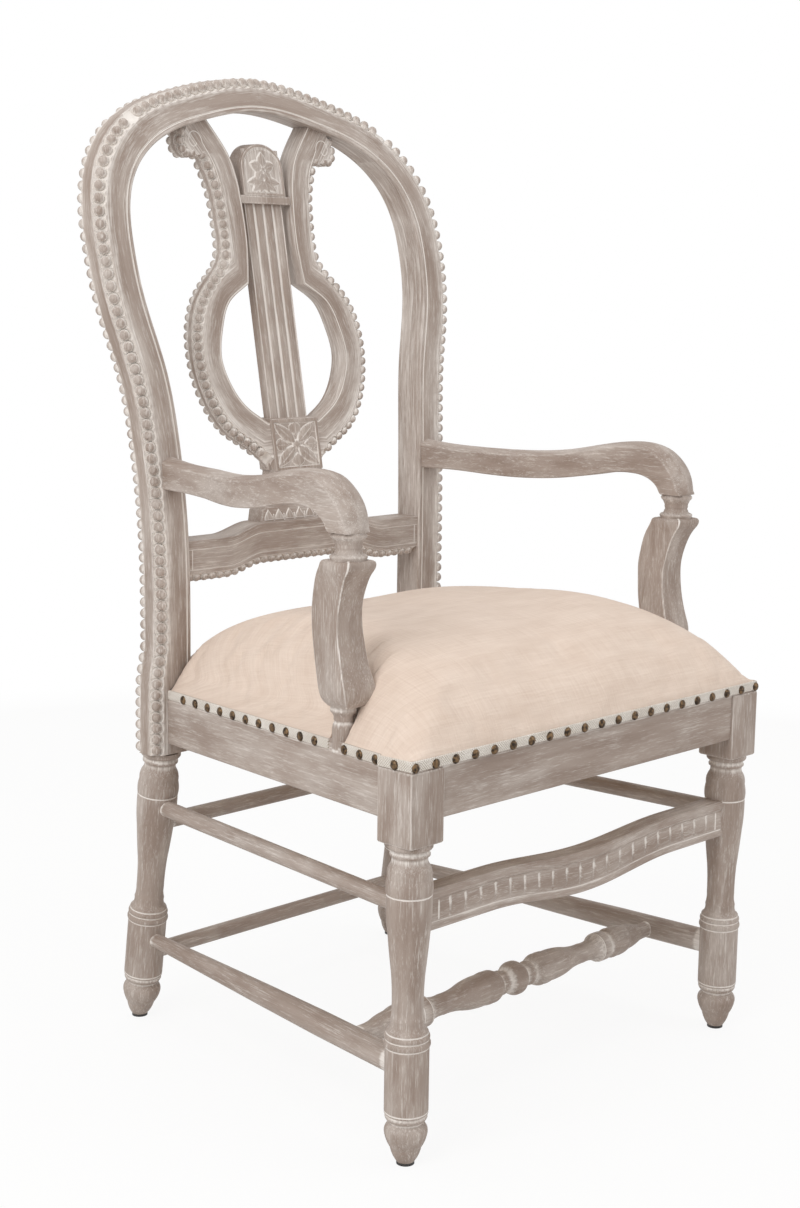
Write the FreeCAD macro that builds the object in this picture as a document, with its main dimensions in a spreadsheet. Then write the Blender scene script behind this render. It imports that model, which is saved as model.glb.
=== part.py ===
import FreeCAD, Part
import math
import os
import re
from types import SimpleNamespace

import Sketcher
from FreeCAD import Placement, Rotation, Vector

# Lyre back armchair, millimetres, +Z up, front towards -Y.
# Lengths along Y are counted from the front leg axes, and the part's own origin lies
# originBack behind them, on the floor under the middle of the chair.
# Names in Rise are steps from the point below, so a longer step lifts all that stands on it.

sizes = {
    # plan of the seat frame
    "frontSpread": 285.8,
    "rearSpread": 231.9,
    "blockSide": 50.7,
    "blockTall": 82.4,
    "seatDrop": 12.5,
    "railHeight": 56.0,
    "railThick": 25.0,
    "railRecess": 3.3,
    "railRearHalf": 239.5,
    "rebateDepth": 1.6,
    "rebateHeight": 12.5,
    "rearRailThick": 22.0,
    "rearRailSet": 7.0,
    # turned legs, from the floor up
    "rakeAngle": 7.67,
    "glideHeight": 3.0,
    "glideRadius": 10.0,
    "glidePinRadius": 2.0,
    "glidePinLength": 14.0,
    "toeRadius": 10.4,
    "shinRadius": 17.6,
    "shinRise": 18.0,
    "bellyRadius": 23.8,
    "bellyRise": 15.5,
    "ankleRadius": 18.4,
    "ankleRise": 12.5,
    "stepRadius": 22.8,
    "stepRise": 9.0,
    "drumRadius": 24.4,
    "drumEaseRise": 3.0,
    "drumRise": 76.0,
    "ringRise": 5.6,
    "ringDepth": 1.4,
    "shoulderRadius": 18.8,
    "shoulderRise": 14.2,
    "waistRadius": 17.4,
    "waistRise": 12.0,
    "thighRadius": 23.4,
    "thighRise": 86.0,
    "swellRadius": 25.2,
    "swellRise": 46.0,
    "neckRadius": 20.4,
    "neckRise": 30.0,
    "grooveRadius": 19.6,
    "grooveRise": 8.0,
    "capRadius": 24.0,
    "capRise": 6.6,
    "capTallRise": 6.0,
    # joints
    "fitGap": 0.15,
    "tenonThick": 10.0,
    "tenonDepth": 18.0,
    "tenonShoulder": 9.0,
    "pegDepth": 15.0,
    "dowelRadius": 4.0,
    "dowelLength": 34.0,
    # stretchers, heights above the floor
    "sideUpperHeight": 290.0,
    "sideLowerHeight": 111.0,
    "rearUpperHeight": 265.0,
    "rearLowerHeight": 86.0,
    "stretcherRadius": 10.2,
    "lowerThinRadius": 8.8,
    "lowerThickRadius": 15.0,
    "lowerTaper": 350.0,
    "middleSet": 100.0,
    "ballRadius": 21.0,
    "ballHalf": 14.0,
    "beadRadius": 14.6,
    "beadGrooveRadius": 12.6,
    "beadRun": 14.0,
    "vaseRadius": 19.8,
    "vaseRun": 18.0,
    "stemRadius": 12.4,
    "stemRun": 88.0,
    "collarRadius": 18.5,
    "collarRun": 22.0,
    "collarLong": 16.0,
    "reelRadius": 16.8,
    "reelRun": 4.0,
    "bulbRun": 14.0,
    "bulbRadius": 18.8,
    "spindleRun": 50.0,
    "spindleRadius": 10.4,
    "spindleEndRadius": 9.4,
    "apronTop": 307.0,
    "apronTall": 45.0,
    "apronThick": 26.0,
    "apronSag": 9.0,
    "apronSwell": 4.5,
    "apronReach": 165.0,
    # back posts and hoop
    "postFront": 468.0,
    "postDepth": 43.0,
    "postStraight": 115.0,
    "bowRadius": 1868.0,
    "lineToEdge": 7.0,
    "lineToRim": 43.0,
    "crownToRim": 37.0,
    "seatFlare": 8.0,
    "flareTall": 60.0,
    "lineHalf": 209.2,
    "crestHalf": 197.0,
    "crestDowelSpread": 20.0,
    # cross rail under the lyre
    "crossFront": 471.8,
    "crossDepth": 38.0,
    "crossRise": 130.0,
    "crossTall": 52.0,
    "crossLift": 12.5,
    "crossFlat": 78.0,
    "crossRamp": 60.0,
    # lyre, on boards that lean back
    "lyreSet": 8.4,
    "lyreLean": 10.7,
    "lyreThick": 28.5,
    "pedestalTall": 62.5,
    "lyreDowelHalf": 24.0,
    "footDowelHalf": 40.0,
    "armDowelHalf": 110.0,
    "pedestalBand": 16.0,
    "pedestalFoot": 76.0,
    "pedestalFlare": 70.0,
    "pedestalHalf": 41.0,
    "rosetteTall": 67.0,
    "rosetteProud": 2.0,
    "bowlFloorDrop": 4.0,
    "columnHalf": 32.0,
    "columnRecess": 8.0,
    "columnThick": 14.0,
    "columnHouse": 6.0,
    "columnRise": 275.0,
    "reedDepth": 2.0,
    "reedHalf": 2.2,
    "tabletLedge": 10.0,
    "ledgeHouse": 6.0,
    "ledgeHalf": 43.0,
    "tabletHalf": 35.5,
    "tabletTall": 36.0,
    "tabletDome": 31.0,
    "tabletSet": 1.5,
    "tabletThick": 25.0,
    # arms, heights above their underside at the support
    "armRearX": 225.5,
    "armFrontX": 289.0,
    "armBow": 12.0,
    "armRearWide": 31.0,
    "armMidWide": 38.0,
    "armFrontWide": 46.0,
    "knuckleFront": 70.0,
    "knuckleLong": 37.0,
    "knuckleRound": 14.0,
    "armRearTop": 48.0,
    "armDipTop": 42.5,
    "armCrestTop": 63.5,
    "armRearLow": 9.5,
    "armBellyLow": 6.0,
    "armHollowLow": 25.0,
    "armScrewRadius": 2.5,
    "armScrewLength": 70.0,
    "armPlugRadius": 5.0,
    "armPlugTall": 6.0,
    # arm supports, from the side rail up
    "supportFootX": 282.3,
    "supportFootSet": 108.0,
    "supportTopX": 288.8,
    "supportTopSet": 95.5,
    "supportSweep": 17.0,
    "supportPostRadius": 12.5,
    "supportPostRise": 30.0,
    "supportLowNeckRadius": 10.6,
    "supportLowNeckRise": 22.0,
    "supportBlockRise": 160.0,
    "supportHalf": 18.6,
    "supportFlare": 4.6,
    "supportBaseRadius": 20.0,
    "supportUpNeckRadius": 14.6,
    "supportUpNeckRise": 30.0,
    "supportPinRadius": 8.0,
    "supportPinTall": 20.0,
    "supportTenonTall": 35.0,
    # seat
    "boardThick": 12.0,
    "boardGap": 0.3,
    "cushionCrown": 99.0,
    "seatGap": 0.3,
    "notchGap": 1.5,
    "trimThick": 1.8,
    "trimInset": 0.3,
    "nailRadius": 5.6,
    "nailDome": 3.0,
    "nailCrownRadius": 1.2,
    "nailShankRadius": 0.9,
    "nailReach": 9.0,
    "frontNails": 21,
    "sideNailPitch": 28.4,
    "rearNails": 14,
    # corner blocks
    "cornerLeg": 62.0,
    "cornerTall": 32.0,
    "screwRadius": 2.0,
    "screwHeadRadius": 4.2,
    "screwHeadTall": 3.0,
    "screwLength": 36.0,
    "screwBite": 14.0,
}

# Outlines as (half width, step up from the point below), from the bottom up; the back's
# line as (step out from lineHalf, step up), its last point on the chair's middle.
outlines = {
    "backLine": [
        (0.0, 155.0), (1.8, 60.0), (8.3, 100.0), (18.9, 80.0), (38.4, 80.0),
        (44.1, 62.0), (38.7, 58.0), (20.3, 40.0), (-23.8, 40.0), (-112.3, 32.8), (-209.2, 15.2),
    ],
    "bowlOuter": [
        (62.0, 21.5), (104.0, 27.5), (134.5, 44.0), (146.5, 58.0), (135.5, 56.5),
        (110.4, 34.2), (84.6, 28.3), (80.0, 48.0), (85.0, 42.0), (97.0, 34.0),
    ],
    "armScroll": [(103.0, 6.0), (124.0, 1.0), (135.0, 16.0), (128.0, 24.0)],
    "bowlInner": [(43.0, 0.0), (76.0, 22.0), (101.0, 37.0), (107.0, 23.0), (100.0, 37.0), (84.0, 33.0), (48.0, 24.0)],
    "waistInner": [(48.0, 0.0), (42.5, 40.0), (42.5, 60.0), (53.0, 58.0), (92.0, 55.0)],
}

legSteps = [
    "shinRise", "bellyRise", "ankleRise", "stepRise", "drumEaseRise", "drumRise", "ringRise", "ringRise",
    "ringRise", "shoulderRise", "waistRise", "thighRise", "swellRise", "neckRise", "grooveRise",
    "capRise", "capTallRise",
]


def lineRise(count):
    # height above the seat of one of the points of the back's white line
    return sum(step for half, step in outlines["backLine"][:count])


sizes["blockBottom"] = sizes["glideHeight"] + sum(sizes[name] for name in legSteps)
sizes["seatTop"] = sizes["blockBottom"] + sizes["blockTall"]
hoopTop = sizes["seatTop"] + lineRise(11) + sizes["crownToRim"]
hoopRun = hoopTop - sizes["seatTop"] - sizes["postStraight"]
rearBow = sizes["bowRadius"] - sizes["postDepth"]
backEnd = sizes["postFront"] + sizes["bowRadius"] - math.sqrt(rearBow ** 2 - hoopRun ** 2)
frontEnd = sizes["rebateDepth"] - sizes["trimThick"] - sizes["nailDome"] - sizes["blockSide"] / 2
sizes["originBack"] = (backEnd + frontEnd) / 2

doc = FreeCAD.newDocument("LyreBackChair")
sheet = doc.addObject("Spreadsheet::Sheet", "Sizes")
cells = dict(sizes)
for outline, points in outlines.items():
    for index, (half, step) in enumerate(points):
        cells["%sHalf%d" % (outline, index)] = half
        cells["%sStep%d" % (outline, index)] = step
for row, (name, value) in enumerate(cells.items(), start=1):
    sheet.set("A%d" % row, name)
    sheet.set("B%d" % row, str(round(value, 4)))
    sheet.setAlias("B%d" % row, name)
doc.recompute()
s = SimpleNamespace(**{name: float(sheet.get(name)) for name in cells})
nodes = []


def outlinePoints(name, base):
    # an outline's (half width, height) points above this base
    points = []
    height = base
    for index in range(len(outlines[name])):
        height += getattr(s, "%sStep%d" % (name, index))
        points.append((getattr(s, "%sHalf%d" % (name, index)), height))
    return points


def formula(text):
    # a formula in the sheet's words, as the document stores it
    def cell(match):
        word = match.group(0)
        return "Sizes." + word if word in cells else word
    return re.sub(r"[A-Za-z]+", cell, str(text))


def amount(text):
    # the value of a sum or difference of sheet words and numbers, such as drumTop + 3
    total = 0.0
    for sign, word in re.findall(r"([+-]?)\s*([A-Za-z]+|[\d.]+)", str(text)):
        value = getattr(s, word) if word in cells else float(word)
        total += -value if sign == "-" else value
    return total


def bind(obj, **formulas):
    for prop, text in formulas.items():
        obj.setExpression(prop, formula(text))
    return obj


def place(obj, x="0", y="0", z="0"):
    # y is counted from the front leg axes
    obj.setExpression("Placement.Base.x", formula(x))
    obj.setExpression("Placement.Base.y", formula("(" + y + ") - originBack"))
    obj.setExpression("Placement.Base.z", formula(z))
    return obj


def node(obj, label):
    obj.Label = label
    nodes.append(obj)
    return obj


def box(name, size, corner):
    obj = doc.addObject("Part::Box", name)
    bind(obj, Length=size[0], Width=size[1], Height=size[2])
    return place(obj, *corner)


def tenon(name, size, corner):
    # a tenon and the mortise that takes it with fitGap all round
    wide = ["(%s) + 2 * fitGap" % length for length in size]
    near = ["(%s) - fitGap" % start for start in corner]
    return box(name, size, corner), box(name + "_mortise", wide, near)


def fuse(name, parts):
    obj = doc.addObject("Part::MultiFuse", name)
    obj.Shapes = parts
    return obj


def cut(name, base, tools):
    obj = doc.addObject("Part::Cut", name)
    obj.Base = base
    obj.Tool = tools[0] if len(tools) == 1 else fuse(name + "_tools", tools)
    return obj


def common(name, first, second):
    obj = doc.addObject("Part::Common", name)
    obj.Base = first
    obj.Tool = second
    return obj


def mirror(source, name):
    # the same piece on the other side of the chair
    obj = doc.addObject("Part::Mirroring", name)
    obj.Source = source
    obj.Base = (0, 0, 0)
    obj.Normal = (1, 0, 0)
    return obj


def pair(obj, label):
    node(obj, label + "_right")
    return node(mirror(obj, label + "_left"), label + "_left")


def feature(name, shape):
    # a free form, made from the sheet's sizes in the front leg axes' frame
    obj = doc.addObject("Part::Feature", name)
    obj.Shape = shape
    obj.Placement = Placement(Vector(0, -s.originBack, 0), Rotation())
    return obj


def extrusion(name, face, along, length):
    obj = doc.addObject("Part::Extrusion", name)
    obj.Base = feature(name + "_outline", face)
    obj.DirMode = "Custom"
    obj.Dir = along
    obj.Solid = True
    return bind(obj, LengthFwd=length)


def curve(points, start=None, end=None):
    # a smooth line through a few points, with its end directions where they are given
    line = Part.BSplineCurve()
    if start and end:
        line.interpolate(Points=points, InitialTangent=start, FinalTangent=end)
    else:
        line.interpolate(Points=points)
    return line.toShape()


def outlineFace(pieces):
    # one closed outline from point lists and ready curves
    edges = []
    for piece in pieces:
        if isinstance(piece, list):
            edges += [Part.makeLine(a, b) for a, b in zip(piece, piece[1:])]
        else:
            edges.append(piece)
    return Part.Face(Part.Wire(Part.__sortEdges__(edges)))


def turned(name, stations):
    # a lathe-turned body: stations are (radius, height, bulge) from the bottom up,
    # where bulge bows the stretch above a station outwards by that share of its length
    body = doc.addObject("PartDesign::Body", name)
    sketch = body.newObject("Sketcher::SketchObject", name + "_profile")
    plane = [item for item in body.Origin.OriginFeatures if item.Role == "XZ_Plane"][0]
    sketch.AttachmentSupport = [(plane, "")]
    sketch.MapMode = "FlatFace"
    corners = [("0", stations[0][1])] + [(r, z) for r, z, bulge in stations] + [("0", stations[-1][1])]
    bulges = [0.0] + [bulge for r, z, bulge in stations[:-1]] + [0.0, 0.0]
    spots = [Vector(amount(r), amount(z), 0) for r, z in corners]
    count = len(spots)
    for i in range(count):
        a, b = spots[i], spots[(i + 1) % count]
        if bulges[i]:
            across = Vector(b.y - a.y, a.x - b.x, 0)
            sketch.addGeometry(Part.Arc(a, (a + b) * 0.5 + across * bulges[i], b), False)
        else:
            sketch.addGeometry(Part.LineSegment(a, b), False)
    # an arc that runs clockwise keeps its ends the other way round
    ends = [(1, 2) if sketch.getPoint(i, 1).distanceToPoint(spots[i]) < 1e-6 else (2, 1) for i in range(count)]
    for i in range(count):
        j = (i + 1) % count
        sketch.addConstraint(Sketcher.Constraint("Coincident", i, ends[i][1], j, ends[j][0]))
    for i, (r, z) in enumerate(corners):
        tip = ends[i][0]
        if r == "0":
            sketch.addConstraint(Sketcher.Constraint("PointOnObject", i, tip, -2))
        else:
            wide = sketch.addConstraint(Sketcher.Constraint("DistanceX", -1, 1, i, tip, spots[i].x))
            sketch.setExpression("Constraints[%d]" % wide, formula(r))
        if abs(spots[i].y) < 1e-9:
            sketch.addConstraint(Sketcher.Constraint("PointOnObject", i, tip, -1))
        else:
            tall = sketch.addConstraint(Sketcher.Constraint("DistanceY", -1, 1, i, tip, spots[i].y))
            sketch.setExpression("Constraints[%d]" % tall, formula(z))
    lathe = body.newObject("PartDesign::Revolution", name + "_turning")
    lathe.Profile = sketch
    lathe.ReferenceAxis = (sketch, ["V_Axis"])
    lathe.Angle = 360
    return body


def laid(body, start, end):
    # lays a body made along Z from one point towards another
    a, b = Vector(*start), Vector(*end)
    body.Placement = Placement(a + Vector(0, -s.originBack, 0), Rotation(Vector(0, 0, 1), b - a))
    return body


def rodAt(name, radius, start, end):
    # a plain round rod between two points
    obj = doc.addObject("Part::Cylinder", name)
    bind(obj, Radius=radius)
    obj.Height = (Vector(*end) - Vector(*start)).Length
    return laid(obj, start, end)


def seatPlane(y):
    # top of the visible rails: level at the front blocks, falling to the back posts
    run = s.postFront - s.blockSide / 2
    return s.seatTop - s.seatDrop * (y - s.blockSide / 2) / run


def plank(name, plan, low, tall):
    # a plan outline on the sloping seat, this far above the seat plane and this thick
    points = [Vector(x, y, seatPlane(y) + low) for x, y in plan]
    return extrusion(name, outlineFace([points + points[:1]]), (0, 0, 1), tall)


# Seat rail faces on the right: the outer face runs from the front block to the back post.
halfBlock = s.blockSide / 2
railFrontHalf = s.frontSpread + halfBlock - s.railRecess
railSlope = (railFrontHalf - s.railRearHalf) / (s.postFront - halfBlock)
railAcross = s.railThick * math.sqrt(1 + railSlope ** 2)
frontInner = -halfBlock + s.railRecess + s.railThick
rearRailFront = s.postFront + s.rearRailSet
blockInner = s.frontSpread - halfBlock
postInner = s.lineHalf - s.lineToEdge


def railFace(y, inset=0.0):
    # half width of the side rail's outer face, set in by inset, at this distance
    return railFrontHalf - railSlope * (y - halfBlock) - inset


def rearAxis(height):
    # the rear leg's axis lies further back the lower it is
    top = s.postFront + s.postDepth / 2 + 2.5
    return top + (s.blockBottom - height) * math.tan(math.radians(s.rakeAngle))


# upholstery nails: domed heads on the tape, shanks into the frame behind it

nailHeight = s.rebateHeight * 0.45
tapeFront = -halfBlock + s.rebateDepth - s.trimThick


def nailPlaces():
    # (point on the tape's face, direction into the wood) of each nail
    places = []
    frontHalf = s.frontSpread + halfBlock - s.nailRadius
    for index in range(int(s.frontNails)):
        x = -frontHalf + 2 * frontHalf * index / (s.frontNails - 1)
        places.append((Vector(x, tapeFront, seatPlane(0) + nailHeight), Vector(0, 1, 0)))
    inward = Vector(-1, -railSlope, 0).normalize()
    start = halfBlock + s.nailRadius + 2
    for index in range(int((s.postFront - s.nailRadius - start) / s.sideNailPitch) + 1):
        y = start + index * s.sideNailPitch
        if abs(y - s.supportFootSet) < s.supportPostRadius + s.nailRadius:
            continue
        x = railFace(y, s.rebateDepth - s.trimThick)
        for side in (1, -1):
            point = Vector(side * x, y, seatPlane(y) + nailHeight)
            places.append((point, Vector(side * inward.x, inward.y, 0)))
    for side in (1, -1):
        x = s.frontSpread + halfBlock - s.rebateDepth + s.trimThick
        places.append((Vector(side * x, 0, seatPlane(0) + nailHeight), Vector(-side, 0, 0)))
    rearHalf = postInner - 2 * s.nailRadius
    rearFace = rearRailFront + s.rearRailThick - s.rebateDepth + s.trimThick
    for index in range(int(s.rearNails)):
        x = -rearHalf + 2 * rearHalf * index / (s.rearNails - 1)
        places.append((Vector(x, rearFace, seatPlane(rearFace) + nailHeight), Vector(0, -1, 0)))
    return places


def nailSet(name, solid):
    shapes = []
    for point, inward in nailPlaces():
        copy = solid.copy()
        copy.Placement = Placement(point, Rotation(Vector(0, 0, 1), inward))
        shapes.append(copy)
    return feature(name, Part.makeCompound(shapes))


nailCrown = Vector(s.nailCrownRadius, 0, -s.nailDome)
nailRim = Vector(s.nailRadius, 0, 0)
nailShoulder = Vector(s.nailRadius * 0.8, 0, -s.nailDome * 0.66)
nailTip = Vector(s.nailShankRadius, 0, s.nailReach)
nailProfile = outlineFace([
    Part.Arc(nailRim, nailShoulder, nailCrown).toShape(),
    [nailCrown, Vector(0, 0, -s.nailDome), Vector(0, 0, s.nailReach), nailTip, Vector(s.nailShankRadius, 0, 0), nailRim],
])
nailSolid = nailProfile.revolve(Vector(), Vector(0, 0, 1), 360)
nails = node(nailSet("nails", nailSolid), "upholstery_nails")
nailHoles = nailSet("nail_holes", Part.makeCylinder(s.nailShankRadius + s.fitGap, s.nailReach + s.fitGap))

# turned legs

legStations = [("toeRadius", "glideHeight", 0.03)]


def legStep(radius, step, bulge=0.0):
    legStations.append((radius, legStations[-1][1] + " + " + step, bulge))


legStep("shinRadius", "shinRise", 0.02)
legStep("bellyRadius", "bellyRise", 0.16)
legStep("ankleRadius", "ankleRise", -0.12)
legStep("stepRadius", "stepRise", 0.06)
legStep("drumRadius", "drumEaseRise")
legStep("drumRadius", "drumRise", -0.25)
legStep("drumRadius", "ringRise", -0.25)
legStep("drumRadius - ringDepth", "ringRise", -0.25)
legStep("drumRadius - ringDepth - ringDepth", "ringRise")
legStep("shoulderRadius", "shoulderRise", -0.06)
legStep("waistRadius", "waistRise", -0.03)
legStep("thighRadius", "thighRise", 0.015)
legStep("swellRadius", "swellRise", 0.12)
legStep("neckRadius", "neckRise")
legStep("grooveRadius", "grooveRise", -0.15)
legStep("capRadius", "capRise", 0.12)
legStep("capRadius", "capTallRise")

frontTurning = place(turned("front_leg_lathe", legStations), "frontSpread")
block = box("front_block", ("blockSide", "blockSide", "blockTall"),
            ("frontSpread - blockSide / 2", "-blockSide / 2", "blockBottom"))
blockTop = box("front_block_top",
               ("blockSide - rebateDepth", "blockSide - rebateDepth", "rebateHeight - seatGap"),
               ("frontSpread - blockSide / 2", "rebateDepth - blockSide / 2", "seatTop"))

# Tenons of the seat rails and the stretchers, each with its mortise tool.
railTenonTall = "railHeight - 2 * tenonShoulder"
frontTenon, frontMortise = tenon(
    "front_rail_tenon", ("tenonDepth", "tenonThick", railTenonTall),
    ("frontSpread - blockSide / 2", str(frontInner - s.railThick / 2 - s.tenonThick / 2),
     "seatTop - railHeight + tenonShoulder"))
sideFrontX = railFace(halfBlock) - railAcross / 2 - s.tenonThick / 2
sideFrontTenon, sideFrontMortise = tenon(
    "side_rail_front_tenon", ("tenonThick", "tenonDepth", railTenonTall),
    (str(sideFrontX), "blockSide / 2 - tenonDepth", "seatTop - railHeight + tenonShoulder"))
sideRearX = railFace(s.postFront) - railAcross / 2 - s.tenonThick / 2
sideRearTenon, sideRearMortise = tenon(
    "side_rail_rear_tenon", ("tenonThick", "tenonDepth", railTenonTall),
    (str(sideRearX), "postFront", "seatTop - seatDrop - railHeight + tenonShoulder"))
rearTenon, rearMortise = tenon(
    "rear_rail_tenon", ("tenonDepth", "tenonThick", railTenonTall),
    ("lineHalf - lineToEdge", "postFront + rearRailSet + (rearRailThick - tenonThick) / 2",
     "seatTop - seatDrop - railHeight + tenonShoulder"))
apronTenon, apronMortise = tenon(
    "front_stretcher_tenon", ("tenonDepth", "tenonThick", "apronTall - tenonShoulder"),
    ("frontSpread - swellRadius", "-tenonThick / 2", "apronTop - apronTall + tenonShoulder / 2"))


def stretcherEnds(height):
    # both leg axes of one side at this height
    return Vector(s.frontSpread, 0, height), Vector(s.rearSpread, rearAxis(height), height)


def between(a, b, near, far):
    # the span left when near and far are taken off the ends of a line
    along = (b - a).normalize()
    return a + along * near, b - along * far


# Side stretchers run from peg to peg, a peg reaching pegDepth into each turned leg.
upperA, upperB = between(*stretcherEnds(s.sideUpperHeight), s.swellRadius - s.pegDepth, s.swellRadius - s.pegDepth)
lowerA, lowerB = between(*stretcherEnds(s.sideLowerHeight), s.drumRadius - s.pegDepth, s.drumRadius - s.pegDepth)
upperSide = rodAt("side_stretcher_upper", "stretcherRadius", upperA, upperB)
upperHole = rodAt("side_stretcher_upper_hole", "stretcherRadius + fitGap", upperA, upperB)
lowerRun = (lowerB - lowerA).Length
lowerStations = [
    ("lowerThickRadius", "0", 0.0),
    ("lowerThickRadius", str(lowerRun - s.lowerTaper), 0.01),
    ("lowerThinRadius", str(lowerRun), 0.0),
]
lowerHoleStations = [(r + " + fitGap", z, bulge) for r, z, bulge in lowerStations]
lowerSide = laid(turned("side_stretcher_lower", lowerStations), lowerA, lowerB)
lowerHole = laid(turned("side_stretcher_lower_hole", lowerHoleStations), lowerA, lowerB)


def rearBar(name, radius, height):
    reach = s.rearSpread - s.swellRadius + s.pegDepth
    y = rearAxis(height)
    return rodAt(name, radius, (-reach, y, height), (reach, y, height))


rearUpper = node(rearBar("rear_stretcher_top", "stretcherRadius", s.rearUpperHeight), "rear_stretcher_upper")
rearLower = node(rearBar("rear_stretcher_bottom", "stretcherRadius", s.rearLowerHeight), "rear_stretcher_lower")
rearHoles = [
    rearBar("rear_stretcher_top_hole", "stretcherRadius + fitGap", s.rearUpperHeight),
    rearBar("rear_stretcher_bottom_hole", "stretcherRadius + fitGap", s.rearLowerHeight),
]

# middle stretcher, turned alike on both sides of its ball, between the lower side stretchers

middleStations = [("ballRadius", "0", 0.0)]


def middleStep(radius, step, bulge=0.0):
    middleStations.append((radius, middleStations[-1][1] + " + " + step, bulge))


middleStep("beadGrooveRadius", "ballHalf", 0.0)
middleStep("beadRadius", "beadRun", -0.2)
middleStep("vaseRadius", "vaseRun", 0.04)
middleStep("stemRadius", "stemRun", -0.2)
middleStep("collarRadius", "collarRun", 0.08)
middleStep("collarRadius", "collarLong", -0.2)
middleStep("reelRadius", "reelRun", 0.1)
middleStep("bulbRadius", "bulbRun", -0.05)
middleStep("spindleRadius", "spindleRun")
sideAxisA, sideAxisB = stretcherEnds(s.sideLowerHeight)
middleShare = s.middleSet / (sideAxisB.y - sideAxisA.y)
middleHalf = sideAxisA.x + (sideAxisB.x - sideAxisA.x) * middleShare - s.lowerThickRadius + s.pegDepth / 2
middleStations.append(("spindleEndRadius", str(middleHalf), 0.0))
middlePlace = (0, s.middleSet, s.sideLowerHeight)
middleRight = laid(turned("centre_stretcher_right", middleStations), middlePlace, (1, s.middleSet, s.sideLowerHeight))
middleAll = node(fuse("centre_stretcher_halves", [middleRight, mirror(middleRight, "centre_stretcher_other")]),
                 "centre_stretcher")
middleHole = rodAt("centre_stretcher_hole", "spindleEndRadius + 3 * fitGap",
                   (middleHalf - s.pegDepth, s.middleSet, s.sideLowerHeight),
                   (middleHalf + s.fitGap, s.middleSet, s.sideLowerHeight))

# foot glides, a disc under each foot with its pin up in the leg

glideSpots = [(s.frontSpread, 0.0), (s.rearSpread, rearAxis(s.glideHeight))]
glides = []
glideHoles = []
for index, (x, y) in enumerate(glideSpots):
    disc = rodAt("glide_disc_%d" % index, "glideRadius", (x, y, 0), (x, y, s.glideHeight))
    pinTop = s.glideHeight + s.glidePinLength
    pin = rodAt("glide_pin_%d" % index, "glidePinRadius", (x, y, 0), (x, y, pinTop))
    glideHoles.append(rodAt("glide_hole_%d" % index, "glidePinRadius + fitGap", (x, y, 0), (x, y, pinTop)))
    glide = fuse("glide_%d" % index, [disc, pin])
    glides += [glide, mirror(glide, "glide_%d_left" % index)]
node(fuse("glide_group", glides), "foot_glides")

# front legs

frontLeg = fuse("front_leg_body", [frontTurning, block, blockTop])
frontLegTools = [frontMortise, sideFrontMortise, apronMortise, upperHole, lowerHole, glideHoles[0], nailHoles]
pair(cut("front_leg", frontLeg, frontLegTools), "front_leg")


# back posts and hoop: sawn to the front outline and to the bowed side outline

lineBase = s.blockBottom
hoopNear = s.postFront - s.postDepth


def hoopView(x, z):
    # a point of the back's front outline, drawn clear in front of the back
    return Vector(x, hoopNear, z)


linePoints = [hoopView(s.lineHalf, lineBase)]
linePoints += [hoopView(s.lineHalf + out, z) for out, z in outlinePoints("backLine", s.seatTop)]
linePoints[-1].x = 0.0
lineCurve = curve(linePoints, Vector(0, 0, 1), Vector(-1, 0, 0))


def lineOffset(side, crown, count=14):
    # the white line above its flare moved out by side, and by crown over the last quarter of its run
    a, b = lineCurve.ParameterRange
    first = (lineCurve.Curve.parameter(hoopView(s.lineHalf, s.seatTop + s.flareTall)) - a) / (b - a)
    points = []
    for index in range(count + 1):
        share = first + (1 - first) * index / count
        over = min(1.0, max(0.0, (share - 0.7) / 0.15))
        t = a + (b - a) * share
        along = lineCurve.tangentAt(t)
        points.append(lineCurve.valueAt(t) + Vector(along.z, 0, -along.x) * (side + (crown - side) * over))
    return points


rimPoints = lineOffset(s.lineToRim, s.crownToRim)
edgePoints = lineOffset(-s.lineToEdge, -s.lineToEdge)
edgePoints[0].x = postInner
edgeCurve = curve(edgePoints, Vector(0, 0, 1), Vector(-1, 0, 0))
flareHalf = s.lineHalf + s.lineToRim + s.seatFlare
flareLow = hoopView(flareHalf, s.seatTop)
rimCurve = curve(rimPoints, Vector(0, 0, 1), Vector(-1, 0, 0))
flareCurve = curve([flareLow, rimPoints[0]], Vector(0, 0, 1), Vector(0, 0, 1))
hoopOutline = outlineFace([
    [edgePoints[0], hoopView(postInner, lineBase), hoopView(flareHalf, lineBase), flareLow],
    flareCurve, rimCurve, [rimPoints[-1], edgePoints[-1]], edgeCurve,
])
hoopSawn = extrusion("hoop_sawn", hoopOutline, (0, 1, 0), "postDepth * 6")


def bowArc(behind):
    # the bowed face of the back, this far behind its front face
    top = hoopRun + s.postStraight * 0.5
    radius = s.bowRadius - behind
    centre = Vector(-1, s.postFront + s.bowRadius, s.seatTop + s.postStraight)
    spots = [centre + Vector(0, -math.sqrt(radius ** 2 - rise ** 2), rise) for rise in (0, top / 2, top)]
    return Part.Arc(*spots).toShape(), spots[0], spots[-1]


def sideBand(name, front, depth, reach):
    # the side outline of the back, a bowed board seen from the side
    nearArc, nearFoot, nearTop = bowArc(front)
    farArc, farFoot, farTop = bowArc(front + depth)
    low = Vector(0, 0, lineBase - nearFoot.z)
    face = outlineFace([nearArc, [nearTop, farTop], farArc, [farFoot, farFoot + low, nearFoot + low, nearFoot]])
    return extrusion(name, face, (1, 0, 0), reach)


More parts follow.
